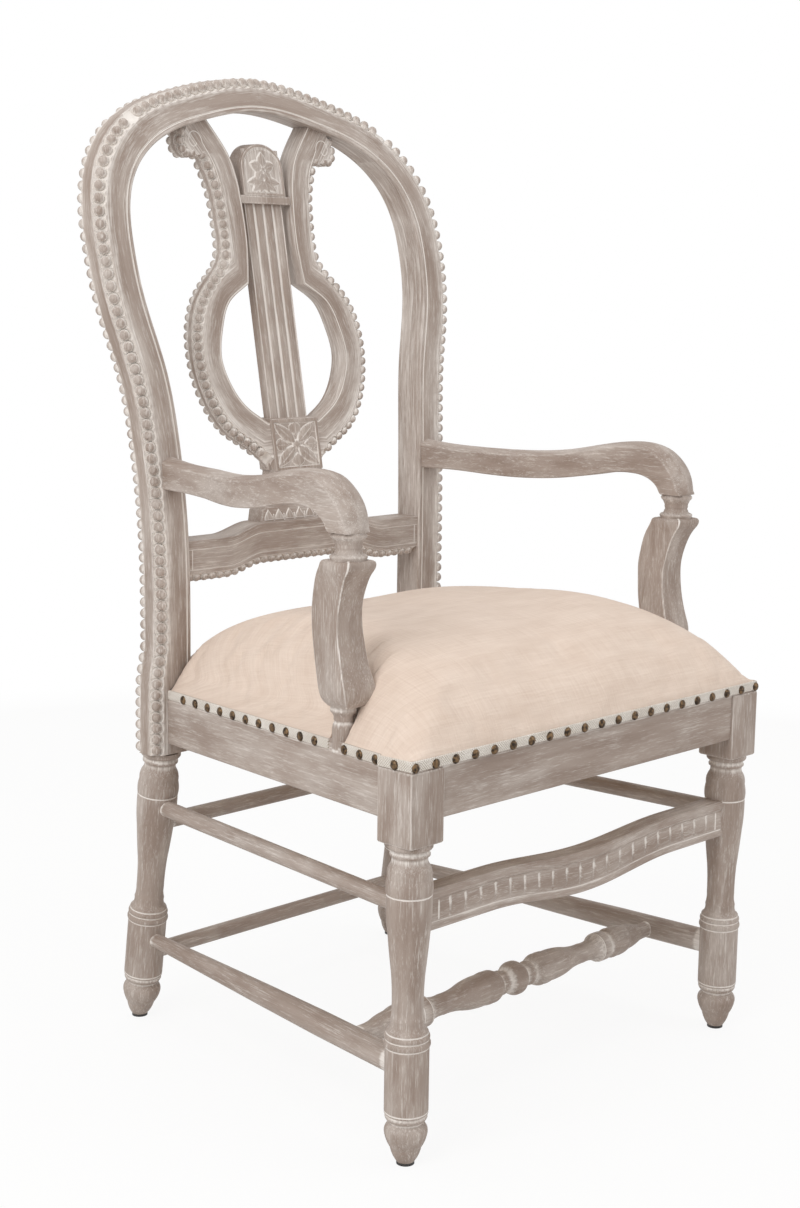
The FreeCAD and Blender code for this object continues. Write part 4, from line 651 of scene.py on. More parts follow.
def frontLeg(side):
    # the turned leg under a square block with softened, limed corners, rebated round its top
    half = chair["blockHalf"]
    low, high = chair["blockBottom"], chair["seatTop"]
    rows = [(5.0, low, 0.6), (1.2, low + 0.6, 0.5), (0.0, low + 2.2, 0.15), (0.0, low + 6, 0.0),
            (0.0, high - 3, 0.0), (0.5, high, 0.4), (1.7, high + 0.3, 0.2), (1.7, high + 11, 0.0)]
    loops, limes = [], []
    for inset, z, lime in rows:
        loop = roundLoop(half - inset, half - inset, leg["edge"])
        loops.append(np.stack([loop[:, 0], loop[:, 1], np.full(len(loop), z)], -1))
        corner = np.abs(np.abs(loop[:, 0]) - np.abs(loop[:, 1])) < 1.0
        limes.append(np.where(corner, 0.45, lime))
    grid = np.stack(loops)
    block = tube(grid, grid, np.stack(limes))
    shift = np.array([side * chair["frontSpread"], 0, 0])
    return [moved(turnedLeg, lambda p: p + shift), moved(block, lambda p: p + shift)]


def rearLeg(side):
    # the same turning on a raked axis, its foot kept level on the floor
    def lean(p):
        tilt = np.clip((p[:, 2] - leg["foot"]) / leg["level"], 0, 1) * rakeSlope
        across = p[:, 0] + side * chair["rearSpread"]
        return np.stack([across, p[:, 1] + rearAxis(p[:, 2]), p[:, 2] + p[:, 1] * tilt], -1)
    return moved(turnedLeg, lean)


for sideName, side in (("left", -1), ("right", 1)):
    limedPiece("turned_front_leg_" + sideName, frontLeg(side), ["front_leg_" + sideName])
print("front legs made")

# Back: two posts and a crest, one bowed board with beads in cups along its outer corners

hoop = {
    "line": [(209.2, 362.6), (209.2, 600), (211.0, 660), (217.5, 760), (228.1, 840), (247.6, 920),
             (253.3, 982), (247.9, 1040), (229.5, 1080), (185.4, 1120), (96.9, 1152.8), (0.0, 1168)],
    "inner": 7.0, "outer": 42.2, "crownOuter": 35.9, "flare": 8.0, "flareLow": 445.0, "flareHigh": 505.0,
    "joint": 197.0, "bead": 6.7, "beadSet": 5.9, "pitch": 14.0, "cup": 12.6, "ridge": 9.2,
    "crownFrom": 0.72, "crownBlend": 0.16,
}


def cupWave(run, pitch):
    # 1 in the middle of each cup and 0.2 on the ridge between two
    share = (run / pitch) % 1.0 * 2 - 1
    return np.sqrt(np.clip(1 - 0.96 * share ** 2, 0, 1))


def cove(radius):
    # a quarter hollow round a corner, as (offset, depth) pairs from the face to the side
    turn = np.radians([0, 16, 36, 54, 74, 90])
    return [(radius * math.cos(t), radius * math.sin(t)) for t in turn]


def beadedRows(inner, thick, hollow, face):
    # closed section of a beaded board: inner side, face with its line, cove, outer side, cove, back
    rows = [(0, 0.0, 2.0, 0.3), (0, inner * 0.25, 0.3, 0.35)]
    rows += face
    rows += [(1, offset + 0.6 * (k == 0), deep, lime) for k, ((offset, deep), lime)
             in enumerate(zip(cove(hollow), (0.55, 1.0, 1.0, 1.0, 1.0, 0.55)))]
    rows += [(1, 0.0, hollow + 3, 0.1), (1, 0.0, thick - hollow - 3, 0.1)]
    rows += [(1, offset, thick - deep, lime) for (offset, deep), lime
             in zip(cove(hollow)[::-1], (0.55, 1.0, 1.0, 1.0, 1.0, 0.55))]
    rows += [(0, inner * 0.5, thick, 0.1), (0, 0.0, thick - 2, 0.3)]
    return rows


def cupShape(pitch, cup, ridge, thick):
    # scales both coves between cup and ridge along the run
    def shape(run, edge, offset, deep, lime, wide):
        hollow = (edge > 0.5) & ((offset > 0.01) | (deep < cup + 1) | (deep > thick - cup - 1))
        scale = (ridge + (cup - ridge) * cupWave(run, pitch)) / cup
        nearer = np.where(deep < thick / 2, deep, thick - deep)
        nearer = np.where(hollow, nearer * scale, nearer)
        newDeep = np.where(deep < thick / 2, nearer, thick - nearer)
        return np.where(hollow, offset * scale, offset), newDeep, lime
    return shape


backLine = smoothLine(hoop["line"], 1.75, (0, 1), (-1, 0))
backSide = sideways(backLine)
shareAlong = runOf(backLine) / runOf(backLine)[-1]
crownShare = softStep((shareAlong - hoop["crownFrom"]) / hoop["crownBlend"])[:, None]
flareShare = 1 - softStep((backLine[:, 1:2] - hoop["flareLow"]) / (hoop["flareHigh"] - hoop["flareLow"]))
outerShift = hoop["outer"] + (hoop["crownOuter"] - hoop["outer"]) * crownShare + hoop["flare"] * flareShare
hoopNear = backLine - backSide * hoop["inner"]
hoopFar = backLine + backSide * outerShift
hoopRun = runOf((hoopNear + hoopFar) / 2)
hoopFace = [
    (0, 5.6, 0.0, 0.1), (0, 6.3, 0.1, 0.9), (0, 7.0, 1.1, 1.0), (0, 7.7, 0.1, 0.9), (0, 8.6, 0.0, 0.1),
    (0, 14.0, 0.0, 0.0), (0, 22.0, 0.0, 0.0),
]
hoopRows = beadedRows(hoop["inner"], chair["postDepth"], hoop["cup"], hoopFace)
crestStart = int(np.argmin(np.abs(backLine[:, 0] - hoop["joint"]) + (backLine[:, 1] < 900) * 1000))


def onHoop(x, z, deep):
    return np.stack([x, bowedY(z, deep), z], -1)


def hoopPiece(first, last):
    rows = slice(first, last)
    offset = hoopRun[first]
    shape = cupShape(hoop["pitch"], hoop["cup"], hoop["ridge"], chair["postDepth"])
    return band(hoopNear[rows], hoopFar[rows], hoopRows, onHoop,
                shape=lambda run, *rest: shape(run + offset, *rest))


def hoopBeads(first, last):
    # beads on both outer corners, one in the middle of each cup
    low, high = hoopRun[first], hoopRun[last]
    pitch = hoop["pitch"]
    spots = (np.arange(math.ceil(low / pitch - 0.5), math.floor(high / pitch - 0.5) + 1) + 0.5) * pitch
    spots = spots[(spots > low + 3) & (spots < high - 2.0)]
    centre = hoopFar - backSide * hoop["beadSet"]
    x, z = (np.interp(spots, hoopRun, centre[:, k]) for k in (0, 1))
    nx, nz = (np.interp(spots, hoopRun, backSide[:, k]) for k in (0, 1))
    sets = []
    for deep, face in ((hoop["beadSet"], -1.0), (chair["postDepth"] - hoop["beadSet"], 1.0)):
        outward = np.stack([nx, np.full(len(x), face), nz], -1)
        sets.append(beadSet(onHoop(x, z, np.full(len(x), deep)), outward, hoop["bead"]))
    return sets


postParts = [hoopPiece(0, crestStart + 1)] + hoopBeads(0, crestStart)
crestParts = [hoopPiece(crestStart, len(backLine))] + hoopBeads(crestStart, len(backLine) - 1)
limedPiece("beaded_post_right", postParts + [rearLeg(1)], ["rear_post_right"])
limedPiece("beaded_post_left", [mirrored(one) for one in postParts] + [rearLeg(-1)], ["rear_post_left"])
limedPiece("beaded_crest", crestParts + [mirrored(one) for one in crestParts], ["crest_rail"])
print("back made")

# Lyre, drawn on a plane that leans back

lyre = {
    "base": 639.5, "front": 480.2, "lean": 10.7, "thick": 28.5, "pitch": 12.4, "bead": 5.9, "cup": 10.8,
    "ridge": 7.8, "beadSet": 5.0,
    "outer": [(41, 702), (62, 723.5), (104, 751), (134.5, 795), (146.5, 853), (135.5, 909.5),
              (110.4, 943.7), (84.6, 972), (80, 1020), (85, 1062), (97, 1096)],
    "scroll": [(97, 1096), (103, 1101), (117, 1098), (130, 1103), (135, 1119), (129, 1139)],
    "bowl": [(43, 765), (76, 787), (101, 824), (107, 847), (100, 884), (84, 917), (48, 941)],
    "waist": [(48, 941), (42.5, 981), (42.5, 1041), (53, 1099), (92, 1156)],
    "columnHalf": 32.0, "columnSet": 8.0, "columnLow": 760.0, "columnHigh": 1046.0,
    "step": 1.5,
}
lyreStep = lyre["step"]
leanSlope = math.tan(math.radians(lyre["lean"]))


def onLyre(x, z, deep):
    return np.stack([x, lyre["front"] + (z - lyre["base"]) * leanSlope + deep, z], -1)


lyreOuter = np.concatenate([smoothLine(lyre["outer"], lyreStep), smoothLine(lyre["scroll"], lyreStep)[1:]])
lyreInner = np.concatenate([smoothLine([(0, 765), (43, 765)], lyreStep),
                            smoothLine(lyre["bowl"], lyreStep)[1:], smoothLine(lyre["waist"], lyreStep)[1:]])
# matching marks on both edges: bowl floor, widest bowl, cusp, waist and the arm's top
outerMarks = [(41, 702), (62, 723.5), (104, 751), (134.5, 795), (146.5, 853), (110.4, 943.7), (82, 985),
              (85, 1062), (100, 1099), (129, 1139)]
innerMarks = [(0, 765), (43, 765), (70, 781.5), (93, 808), (107, 847), (80, 919), (48, 941), (43.5, 1050),
              (56, 1105), (92, 1156)]


def matched(line, marks, counts):
    # the line resampled so that its marks fall on the given counts of points
    run = runOf(line)
    at = [run[np.argmin(np.hypot(*(line - mark).T))] for mark in marks]
    spans = [np.linspace(a, b, n, endpoint=False) for a, b, n in zip(at, at[1:], counts)]
    spots = np.concatenate(spans + [[at[-1]]])
    return np.stack([np.interp(spots, run, line[:, k]) for k in (0, 1)], -1)


markCounts = [18, 26, 28, 32, 52, 34, 44, 24, 34]
farEdge = matched(lyreOuter, outerMarks, markCounts)
nearEdge = matched(lyreInner, innerMarks, markCounts)
lyreFace = [(0, 1.6, 0.0, 0.1), (0, 2.2, 0.1, 0.9), (0, 2.8, 0.8, 1.0), (0, 3.4, 0.1, 0.9),
            (0, 4.2, 0.0, 0.1), (0, 8.0, 0.0, 0.0)]
lyreRows = beadedRows(3.0, lyre["thick"], lyre["cup"], lyreFace)
farRun = runOf(farEdge)


def lyreShape(run, edge, offset, deep, lime, wide):
    # cups follow the outer edge's own length, and no offset passes 0.6 of the arm's width
    shape = cupShape(lyre["pitch"], lyre["cup"], lyre["ridge"], lyre["thick"])
    offset, deep, lime = shape(farRun[:, None], edge, offset, deep, lime, wide)
    return np.minimum(offset, wide * 0.6), deep, lime


lyreArm = band(nearEdge, farEdge, lyreRows, onLyre, shape=lyreShape)
beadRuns = np.arange(2.5, farRun[-1] / lyre["pitch"] - 0.6) * lyre["pitch"]
beadLine = farEdge - sideways(farEdge) * lyre["beadSet"]
sideX, sideZ = (np.interp(beadRuns, farRun, sideways(farEdge)[:, k]) for k in (0, 1))
beadX, beadZ = (np.interp(beadRuns, farRun, beadLine[:, k]) for k in (0, 1))
armParts = [lyreArm]
for deep, face in ((lyre["beadSet"], -1.0), (lyre["thick"] - lyre["beadSet"], 1.0)):
    outward = np.stack([sideX, np.full(len(beadX), face), sideZ], -1)
    armParts.append(beadSet(onLyre(beadX, beadZ, np.full(len(beadX), deep)), outward, lyre["bead"]))
# limed scroll line at the arm's head
turnLine = np.radians(np.linspace(-95, 245, 40))
reach = np.linspace(13.0, 4.0, 40)
curl = np.stack([111 + reach * np.sin(turnLine), 1119 + 1.15 * reach * np.cos(turnLine)], -1)
curl = np.concatenate([smoothLine([(76, 1068), (83, 1092), (92, 1108), curl[0]], lyreStep)[:-1], curl])
armParts.append(limeLine(curl, onLyre))
foot = plate([(-44, 703), (44, 703), (44, 764.5), (-44, 764.5)], [(0, 27.5, 0), (0, 9, 0)], onLyre)
limedPiece("lyre_arms", armParts + [mirrored(one) for one in armParts] + [foot], ["lyre_frame"])

# column with three limed grooves between four reeds
reed = {"count": 4, "pitch": 16.0, "wide": 14.4, "groove": 15.2, "rise": 1.9}
reedRows = [(0, 0.0, 0.8, 0.2)]
for k in range(reed["count"]):
    low = 0.8 + k * reed["pitch"]
    for share in (0.0, 0.14, 0.35, 0.5, 0.65, 0.86, 1.0):
        arch = reed["rise"] * (1 - abs(2 * share - 1) ** 3.2)
        reedRows.append((0, low + share * reed["wide"], 2.0 - arch, 0.9 if share in (0.0, 1.0) else 0.0))
    if k < reed["count"] - 1:
        reedRows.append((0, low + reed["groove"], 2.5, 1.0))
reedRows += [(1, 0.0, 0.8, 0.2), (1, 0.0, 13.5, 0.0), (0, 0.0, 13.5, 0.0)]
columnRun = np.linspace(lyre["columnLow"], lyre["columnHigh"], 60)
columnNear = np.stack([np.full_like(columnRun, -lyre["columnHalf"]), columnRun], -1)
columnFar = np.stack([np.full_like(columnRun, lyre["columnHalf"]), columnRun], -1)
column = band(columnNear, columnFar, reedRows, lambda x, z, d: onLyre(x, z, d + lyre["columnSet"]))
limedPiece("reeded_column", [column], ["lyre_column"])


def alongAcross(x, z, angle):
    # distances along a direction and square to it
    return x * math.cos(angle) + z * math.sin(angle), -x * math.sin(angle) + z * math.cos(angle)


def petalRise(along, across, length, wide, start):
    # a pointed leaf: its half width swells and closes along its length, domed with a rib down the middle
    share = np.clip((along - start) / length, 0, 1)
    half = wide * np.sin(math.pi * share ** 0.8) ** 0.75
    inside = np.clip(1 - np.abs(across) / np.maximum(half, 1e-6), 0, 1) * (share > 0) * (share < 1)
    rib = np.exp(-(across / (0.09 * wide)) ** 2)
    return inside ** 0.45 * (1 - 0.35 * rib)


def flowerField(x, z, petals, length, wide, heart, turn=0.0):
    # petals round a heart: the highest of them at each point
    best = np.zeros_like(x)
    for k in range(petals):
        along, across = alongAcross(x, z, turn + 2 * math.pi * k / petals)
        best = np.maximum(best, petalRise(along, across, length, wide, heart * 0.7))
    ring = np.hypot(x, z)
    return np.maximum(best, np.where(ring < heart, 1.1 * np.sqrt(np.clip(1 - (ring / heart) ** 2, 0, 1)), 0))


def carvedLime(relief, ground):
    # lime lies where the relief is steep, and as a thin film on the flat ground
    slope = np.hypot(*np.gradient(relief))
    return np.clip(ground * (relief < 0.05) + 3.4 * slope, 0, 0.95)


def gridOver(halfX, low, high, step):
    xs = np.linspace(-halfX, halfX, int(2 * halfX / step) + 1)
    zs = np.linspace(low, high, int((high - low) / step) + 1)
    return np.meshgrid(xs, zs)


# rosette block with a crossed flower in a sunk square
rosette = {"carve": 2.4, "squeeze": 0.79, "middle": 735.5, "halfX": 35.9, "halfZ": 28.4, "budFrom": 28.5}
rosetteBlock = plate([(-41, 702), (41, 702), (41, 769), (-41, 769)],
                     [(0, 28.4, 0.1), (0, 0.2, 0.1), (0.5, -1.6, 0.5), (1.4, -2.0, 0.05), (4.6, -2.0, 0.1),
                      (4.9, -1.0, 1.0), (5.3, 0.4, 0.9)], onLyre)
x, z = gridOver(rosette["halfX"], -rosette["halfZ"], rosette["halfZ"], 0.7)
x = x * rosette["squeeze"]
cross = flowerField(x, z, 4, 36, 7.6, 5.6, math.pi / 4)
buds = np.zeros_like(x)
for angle in (0, math.pi / 2, math.pi, 1.5 * math.pi):
    along, across = alongAcross(x, z, angle)
    buds = np.maximum(buds, petalRise(rosette["budFrom"] - along, across, 17.0, 8.4, 0.0))
relief = np.maximum(cross, buds * 0.9)
flower = carvedField(x / rosette["squeeze"], z + rosette["middle"], rosette["carve"] * relief,
                     carvedLime(relief, 0.3), onLyre, 0.2, 2.2)
limedPiece("carved_rosette", [rosetteBlock, flower], ["rosette_block"])

# tablet: an arched panel over a moulded ledge, carved with a flower and leaves
tablet = {"half": 35.5, "low": 1054.5, "spring": 1090.0, "rise": 31.0, "fieldHalf": 31.4, "middle": 1081.0,
          "leafRoot": 6.0, "carve": 2.4}
arch = np.radians(np.linspace(0, 180, 33))
tabletLoop = np.concatenate([
    [(-tablet["half"], tablet["low"]), (tablet["half"], tablet["low"])],
    np.stack([tablet["half"] * np.cos(arch), tablet["spring"] + tablet["rise"] * np.sin(arch)], -1)])
tabletPlate = plate(tabletLoop, [(0, 26.4, 0.1), (0, 2.4, 0.1), (0.5, 1.8, 0.5), (1.6, 1.6, 0.1),
                                 (3.4, 1.6, 0.1), (3.8, 3.0, 1.0), (4.2, 3.2, 0.6)], onLyre)
ledge = plate([(-43, 1044), (43, 1044), (43, 1054.6), (-43, 1054.6)],
              [(0, 26.3, 0), (0, 2.6, 0.1), (1.0, 1.7, 0.4), (2.6, 1.5, 0.0), (3.2, 1.5, 0.0)], onLyre)
x, z = gridOver(tablet["fieldHalf"], -24.0, 33.0, 0.8)
inArch = (z - 6) / 27.0 < np.sqrt(np.clip(1 - (x / tablet["fieldHalf"]) ** 2, 0, None))
blossom = flowerField(x, z - 8.0, 5, 18.5, 7.4, 4.4, math.pi / 2)
leaves = np.zeros_like(x)
for angle, reach in ((188, 27), (216, 25), (245, 17), (295, 17), (324, 25), (352, 27)):
    along, across = alongAcross(x, z + tablet["leafRoot"], math.radians(angle))
    leaves = np.maximum(leaves, petalRise(along, across, reach, 6.0, 1.0))
relief = np.maximum(blossom, leaves * 0.85) * inArch
carving = carvedField(x, z + tablet["middle"], tablet["carve"] * relief - 1.5 * (1 - inArch),
                      carvedLime(relief, 0.4), onLyre, 2.6, 2.0)
limedPiece("carved_tablet", [tabletPlate, ledge, carving], ["lyre_tablet"])

# pedestal: a flaring neck over a band of pointed tongues
neck = {"low": 639.0, "high": 702.5, "base": 655.0, "baseHalf": 71.0, "topHalf": 41.0, "flare": 60.0}
neckZ = np.linspace(neck["low"], neck["high"], 56)
rising = softStep((702.0 - neckZ) / neck["flare"]) ** 0.8
neckHalf = np.where(neckZ < neck["base"], neck["baseHalf"] + 5 * (neck["base"] - neckZ) / 15,
                    neck["topHalf"] + (neck["baseHalf"] - neck["topHalf"]) * rising)
pedestalRows = [(0, 0.0, 2.0, 0.2), (0, 0.8, 0.3, 0.4), (0, 2.4, 0.0, 0.1), (1, 2.4, 0.0, 0.1),
                (1, 0.8, 0.3, 0.4), (1, 0.0, 2.0, 0.2), (1, 0.0, 26.5, 0.0), (1, 2.0, 28.4, 0.0),
                (0, 2.0, 28.4, 0.0), (0, 0.0, 26.5, 0.0)]
pedestal = band(np.stack([-neckHalf, neckZ], -1), np.stack([neckHalf, neckZ], -1), pedestalRows, onLyre,
                grain="view")
tongue = {"pitch": 17.9, "tall": 14.0, "low": 640.2, "carve": 1.8}
x, z = gridOver(71.5, 0.0, 15.0, 0.8)
local = ((x / tongue["pitch"]) % 1.0 - 0.5) * 2
closing = np.clip(1 - (np.clip(z - 1, 0, None) / tongue["tall"]) ** 1.6, 0.02, 1)
arched = np.clip(1 - (np.abs(local) / closing) ** 2, 0, 1)
dart = np.clip(1 - ((1 - np.abs(local)) / 0.22), 0, 1) * (z < 9)
relief = np.maximum(arched ** 0.5 * (z > 1.0), dart * 0.8) * (np.abs(x) < 70.5)
leafBand = carvedField(x, z + tongue["low"], tongue["carve"] * relief - 0.4, carvedLime(relief, 0.4), onLyre,
                       0.3, 1.6)
limedPiece("lyre_neck", [pedestal, leafBand], ["lyre_pedestal"])
print("lyre made")

# Cross rail with a raised middle, an incised border and a row of beads under it

crossRail = {"front": 471.8, "deep": 38.0, "low": 575.0, "high": 627.0, "lift": 12.5, "flat": 78.0,
             "ramp": 60.0, "half": 206.0, "bead": 5.6, "pitch": 12.6}
crossX = np.linspace(-crossRail["half"], crossRail["half"], 330)
fromEnd = crossRail["flat"] + crossRail["ramp"] - np.abs(crossX)
crossLift = crossRail["lift"] * softStep(fromEnd / crossRail["ramp"])
crossNear = np.stack([crossX, crossRail["low"] + crossLift], -1)
crossFar = np.stack([crossX, crossRail["high"] + crossLift], -1)
crossRows = [(0, offset, deep, lime) for (offset, deep), lime
             in zip(cove(10.0)[::-1], (0.4, 1.0, 1.0, 1.0, 1.0, 0.5))]
crossRows += [(0, 12.0, 0.0, 0.1), (0, 14.6, 0.0, 0.3), (0, 15.3, 0.9, 1.0), (0, 16.0, 0.0, 0.3),
              (0, 26.0, 0.0, 0.0), (1, 12.2, 0.0, 0.2), (1, 11.4, 0.9, 1.0), (1, 10.6, 0.0, 0.2),
              (1, 4.0, 0.0, 0.0), (1, 1.0, 0.3, 0.2), (1, 0.0, 1.4, 0.2),
              (1, 0.0, crossRail["deep"] - 1, 0.0), (1, 1.0, crossRail["deep"], 0.1),
              (0, 1.0, crossRail["deep"], 0.1), (0, 0.0, crossRail["deep"] - 1, 0.0)]


def crossShape(run, edge, offset, deep, lime, wide):
    # bead cups along the lower front corner
    hollow = (edge < 0.5) & (offset < 10.5) & (deep < 10.5)
    scale = (7.6 + 2.4 * cupWave(run, crossRail["pitch"])) / 10.0
    return np.where(hollow, offset * scale, offset), np.where(hollow, deep * scale, deep), lime


def onCross(x, z, deep):
    return np.stack([x, crossRail["front"] + deep, z], -1)


crossBoard = band(crossNear, crossFar, crossRows, onCross, shape=crossShape)
crossRun = runOf((crossNear + crossFar) / 2)
spots = (np.arange(0, math.floor(crossRun[-1] / crossRail["pitch"])) + 0.5) * crossRail["pitch"]
beadX = np.interp(spots, crossRun, crossX)
beadZ = np.interp(spots, crossRun, crossNear[:, 1]) + 5.4
beads = beadSet(onCross(beadX, beadZ, np.full(len(beadX), 5.4)), (0, -1, -1), crossRail["bead"])
borderX = 196.5
ends = [limeLine([(side * borderX, 590.0), (side * borderX, 615.0)], onCross) for side in (-1, 1)]
limedPiece("beaded_cross_rail", [crossBoard, beads] + ends, ["cross_rail"])
print("cross rail made")

# Arms: flat sides, a softly ridged top that rolls over the knuckle

arm = {
    "top": [(482, 733), (440, 729), (380, 727), (340, 726.6), (300, 727.6), (250, 733), (200, 743),
            (160, 748.2), (125, 745.5), (100, 730), (86, 714), (79.4, 700), (76.6, 691), (75.8, 687),
            (76.8, 684.9)],
    "low": [(482, 694), (440, 694.3), (410, 694), (340, 691), (270, 693.5), (215, 701.5), (178, 708),
            (150, 709), (130, 705.5), (118, 699), (110, 690), (107.2, 685.6), (100, 684.9), (92, 684.8),
            (83, 684.8)],
    "plan": [(482, 224.6, 15.5), (375, 240.0, 16.5), (300, 261.0, 18.7), (200, 280.5, 20.8),
             (120, 288.4, 22.6), (105, 288.8, 22.4), (94, 288.9, 21.6), (88, 288.9, 20.4),
             (84, 288.9, 18.8), (80, 288.9, 16.4), (77.5, 288.9, 13.6), (75.6, 288.9, 9.8)],
}
armCounts = [30, 30, 30, 24, 22, 18, 16, 12, 14]
topMarks = [(482, 733), (410, 728), (340, 726.6), (270, 730.5), (200, 743), (150, 748), (120, 744),
            (100, 730), (80.6, 703), (76.8, 684.9)]
lowMarks = [(482, 694), (410, 694), (340, 691), (270, 693.5), (205, 703.2), (160, 709), (132, 706),
            (114, 695), (104, 685), (83, 684.8)]
armTopEdge = matched(smoothLine(arm["top"], 2.0), topMarks, armCounts)
armLowEdge = matched(smoothLine(arm["low"], 2.0), lowMarks, armCounts)
armSection = [(0, 0.0, -0.90, 0.1), (0, 0.0, 0.0, 0.0), (0, 0.0, 0.90, 0.1), (0, 1.6, 1.0, 0.25),
              (0, 6.0, 1.0, 0.0), (1, 9.0, 1.0, 0.0), (1, 6.6, 0.985, 0.3), (1, 4.6, 0.88, 0.1),
              (1, 2.6, 0.62, 0.0), (1, 0.9, 0.3, 0.0), (1, 0.0, 0.0, 0.25), (1, 0.9, -0.3, 0.0),
              (1, 2.6, -0.62, 0.0), (1, 4.6, -0.88, 0.1), (1, 6.6, -0.985, 0.3), (1, 9.0, -1.0, 0.0),
              (0, 6.0, -1.0, 0.0), (0, 1.6, -1.0, 0.25)]
planY, planX, planHalf = (np.array(column) for column in zip(*arm["plan"][::-1]))


def armShape(run, edge, offset, deep, lime, wide):
    # no offset passes 0.42 of the section's height, so the crown flattens towards the nose
    return np.minimum(offset, wide * 0.42), deep, lime


def onArm(y, z, deep):
    # y runs along the arm; deep is a share of its half width
    return np.stack([np.interp(y, planY, planX) + deep * np.interp(y, planY, planHalf), y, z], -1)


armRight = band(armLowEdge, armTopEdge, armSection, onArm, shape=armShape)
armRight["board"] = armRight["points"][:, [0, 2, 1]]
for sideName, one in (("right", armRight), ("left", mirrored(armRight))):
    limedPiece("shaped_arm_" + sideName, [one], ["arm_" + sideName], sharp=30)

# Arm supports: a turned foot and neck with a swept square block between them

support = {
    "footAt": (282.3, 107.5, 0), "neckAt": (288.8, 95.5, 0),
    # radius, height, bulge, lime
    "foot": [(12.6, 440.0, 0, 0.3), (12.6, 443.5, 0, 0.7), (12.3, 446.0, 0, 0.1), (12.6, 467.0, 0.0, 0.0),
             (12.0, 471.5, 0.1, 0.3), (10.8, 474.0, -0.2, 0.7), (11.2, 477.5, -0.15, 0.1),
             (14.5, 486.0, 0.1, 0.1), (15.0, 489.5, -0.2, 0.6), (17.0, 493.5, 0.1, 0.3),
             (17.5, 499.0, 0, 0.1)],
    "neck": [(14.0, 646.0, 0, 0.2), (17.6, 652.0, 0.1, 0.5), (19.9, 656.5, 0.3, 0.1),
             (19.2, 660.6, -0.2, 0.4), (15.2, 664.5, -0.2, 0.1), (14.9, 669.0, -0.1, 0.0),
             (16.2, 675.0, -0.1, 0.1), (18.4, 678.4, 0.3, 0.4), (18.4, 683.4, 0.0, 0.2),
             (17.4, 686.5, 0.0, 0.7)],
    # height, centre x and y, half widths
    "block": [(494, 282.4, 100.5, 17.0, 15.0), (499, 282.5, 100.6, 21.0, 18.6),
              (505, 282.6, 101.0, 23.4, 20.4), (512, 282.7, 102.2, 24.0, 21.1),
              (530, 283.6, 107.1, 22.3, 20.9), (550, 284.1, 112.0, 20.8, 20.7),
              (580, 285.3, 115.9, 19.8, 20.3), (595, 285.8, 116.2, 18.9, 21.1),
              (610, 286.7, 113.9, 18.4, 21.8), (625, 287.3, 109.6, 19.1, 22.4),
              (640, 288.4, 102.4, 20.6, 23.0), (650, 288.7, 96.6, 21.6, 23.0),
              (653, 288.7, 96.2, 21.0, 22.4), (656, 288.7, 95.9, 14.5, 15.0)],
}
swept = smoothLine(support["block"], 2.4)
loops = []
for height, centreX, centreY, halfX, halfY in swept:
    loop = roundLoop(halfX, halfY, min(2.0, 0.2 * halfX))
    loops.append(np.stack([loop[:, 0] + centreX, loop[:, 1] + centreY, np.full(len(loop), height)], -1))
sweptGrid = np.stack(loops)
# lime over the points of the four rounded corners
cornerMark = np.tile([0.1, 0.4, 0.55, 0.4, 0.1], 4)[None, :]
endMark = softStep((sweptGrid[:, :1, 2] - 636) / 16) * 0.5
sweptBlock = tube(sweptGrid, sweptGrid, np.clip(cornerMark + endMark * (cornerMark > 0.3), 0, 1))
footPart = moved(lathe(profileLine(support["foot"], 1.2), 32), lambda p: p + support["footAt"])
neckPart = moved(lathe(profileLine(support["neck"], 1.2), 36), lambda p: p + support["neckAt"])
for sideName, side in (("right", 1), ("left", -1)):
    parts = [sweptBlock, footPart, neckPart]
    parts = parts if side > 0 else [mirrored(one) for one in parts]
    limedPiece("swept_support_" + sideName, parts, ["arm_support_" + sideName], sharp=32)
print("arms made")

# Stretchers

# heights of the bars' axes, how far back the middle one lies and half its length
bars = {"sideUpper": 290.0, "sideLower": 111.0, "rearUpper": 265.0, "rearLower": 86.0, "middle": 100.0,
        "reach": 268.0}


def bar(start, end, stations):
    # a turned bar between two leg axes, limed where it enters them; stations are (share of run, radius, lime)
    length = float(np.linalg.norm(np.subtract(end, start)))
    shares, radii, limes = (np.array(column, float) for column in zip(*stations))
    run = np.linspace(0, length, 120)
    radius, lime = (np.interp(run / length, shares, values) for values in (radii, limes))
    profile = np.stack([radius, run, lime], -1)
    profile = profile[(run > 14) & (run < length - 14)]
    return moved(lathe(profile, 28), layAlong(start, end))


plain = [(0, 9.9, 0.8), (0.05, 9.9, 0.7), (0.056, 10.1, 0.1), (0.1, 10.2, 0), (0.9, 10.2, 0),
         (0.944, 10.1, 0.1), (0.95, 9.9, 0.7), (1, 9.9, 0.8)]
taper = [(0, 15, 0.8), (0.05, 15, 0.7), (0.056, 15, 0.1), (0.29, 14.9, 0), (0.5, 13.4, 0), (0.945, 8.9, 0.2),
         (0.955, 8.8, 0.9), (1, 8.8, 1)]
for sideName, side in (("right", 1), ("left", -1)):
    x0, x1 = side * chair["frontSpread"], side * chair["rearSpread"]
    for label, height, stations in (("upper", bars["sideUpper"], plain), ("lower", bars["sideLower"], taper)):
        one = bar((x0, 0, height), (x1, rearAxis(height), height), stations)
        limedPiece("side_bar_%s_%s" % (label, sideName), [one], ["side_stretcher_%s_%s" % (label, sideName)])
for label, height in (("upper", bars["rearUpper"]), ("lower", bars["rearLower"])):
    y = rearAxis(height)
    one = bar((-chair["rearSpread"], y, height), (chair["rearSpread"], y, height), plain)
    limedPiece("rear_bar_" + label, [one], ["rear_stretcher_" + label])

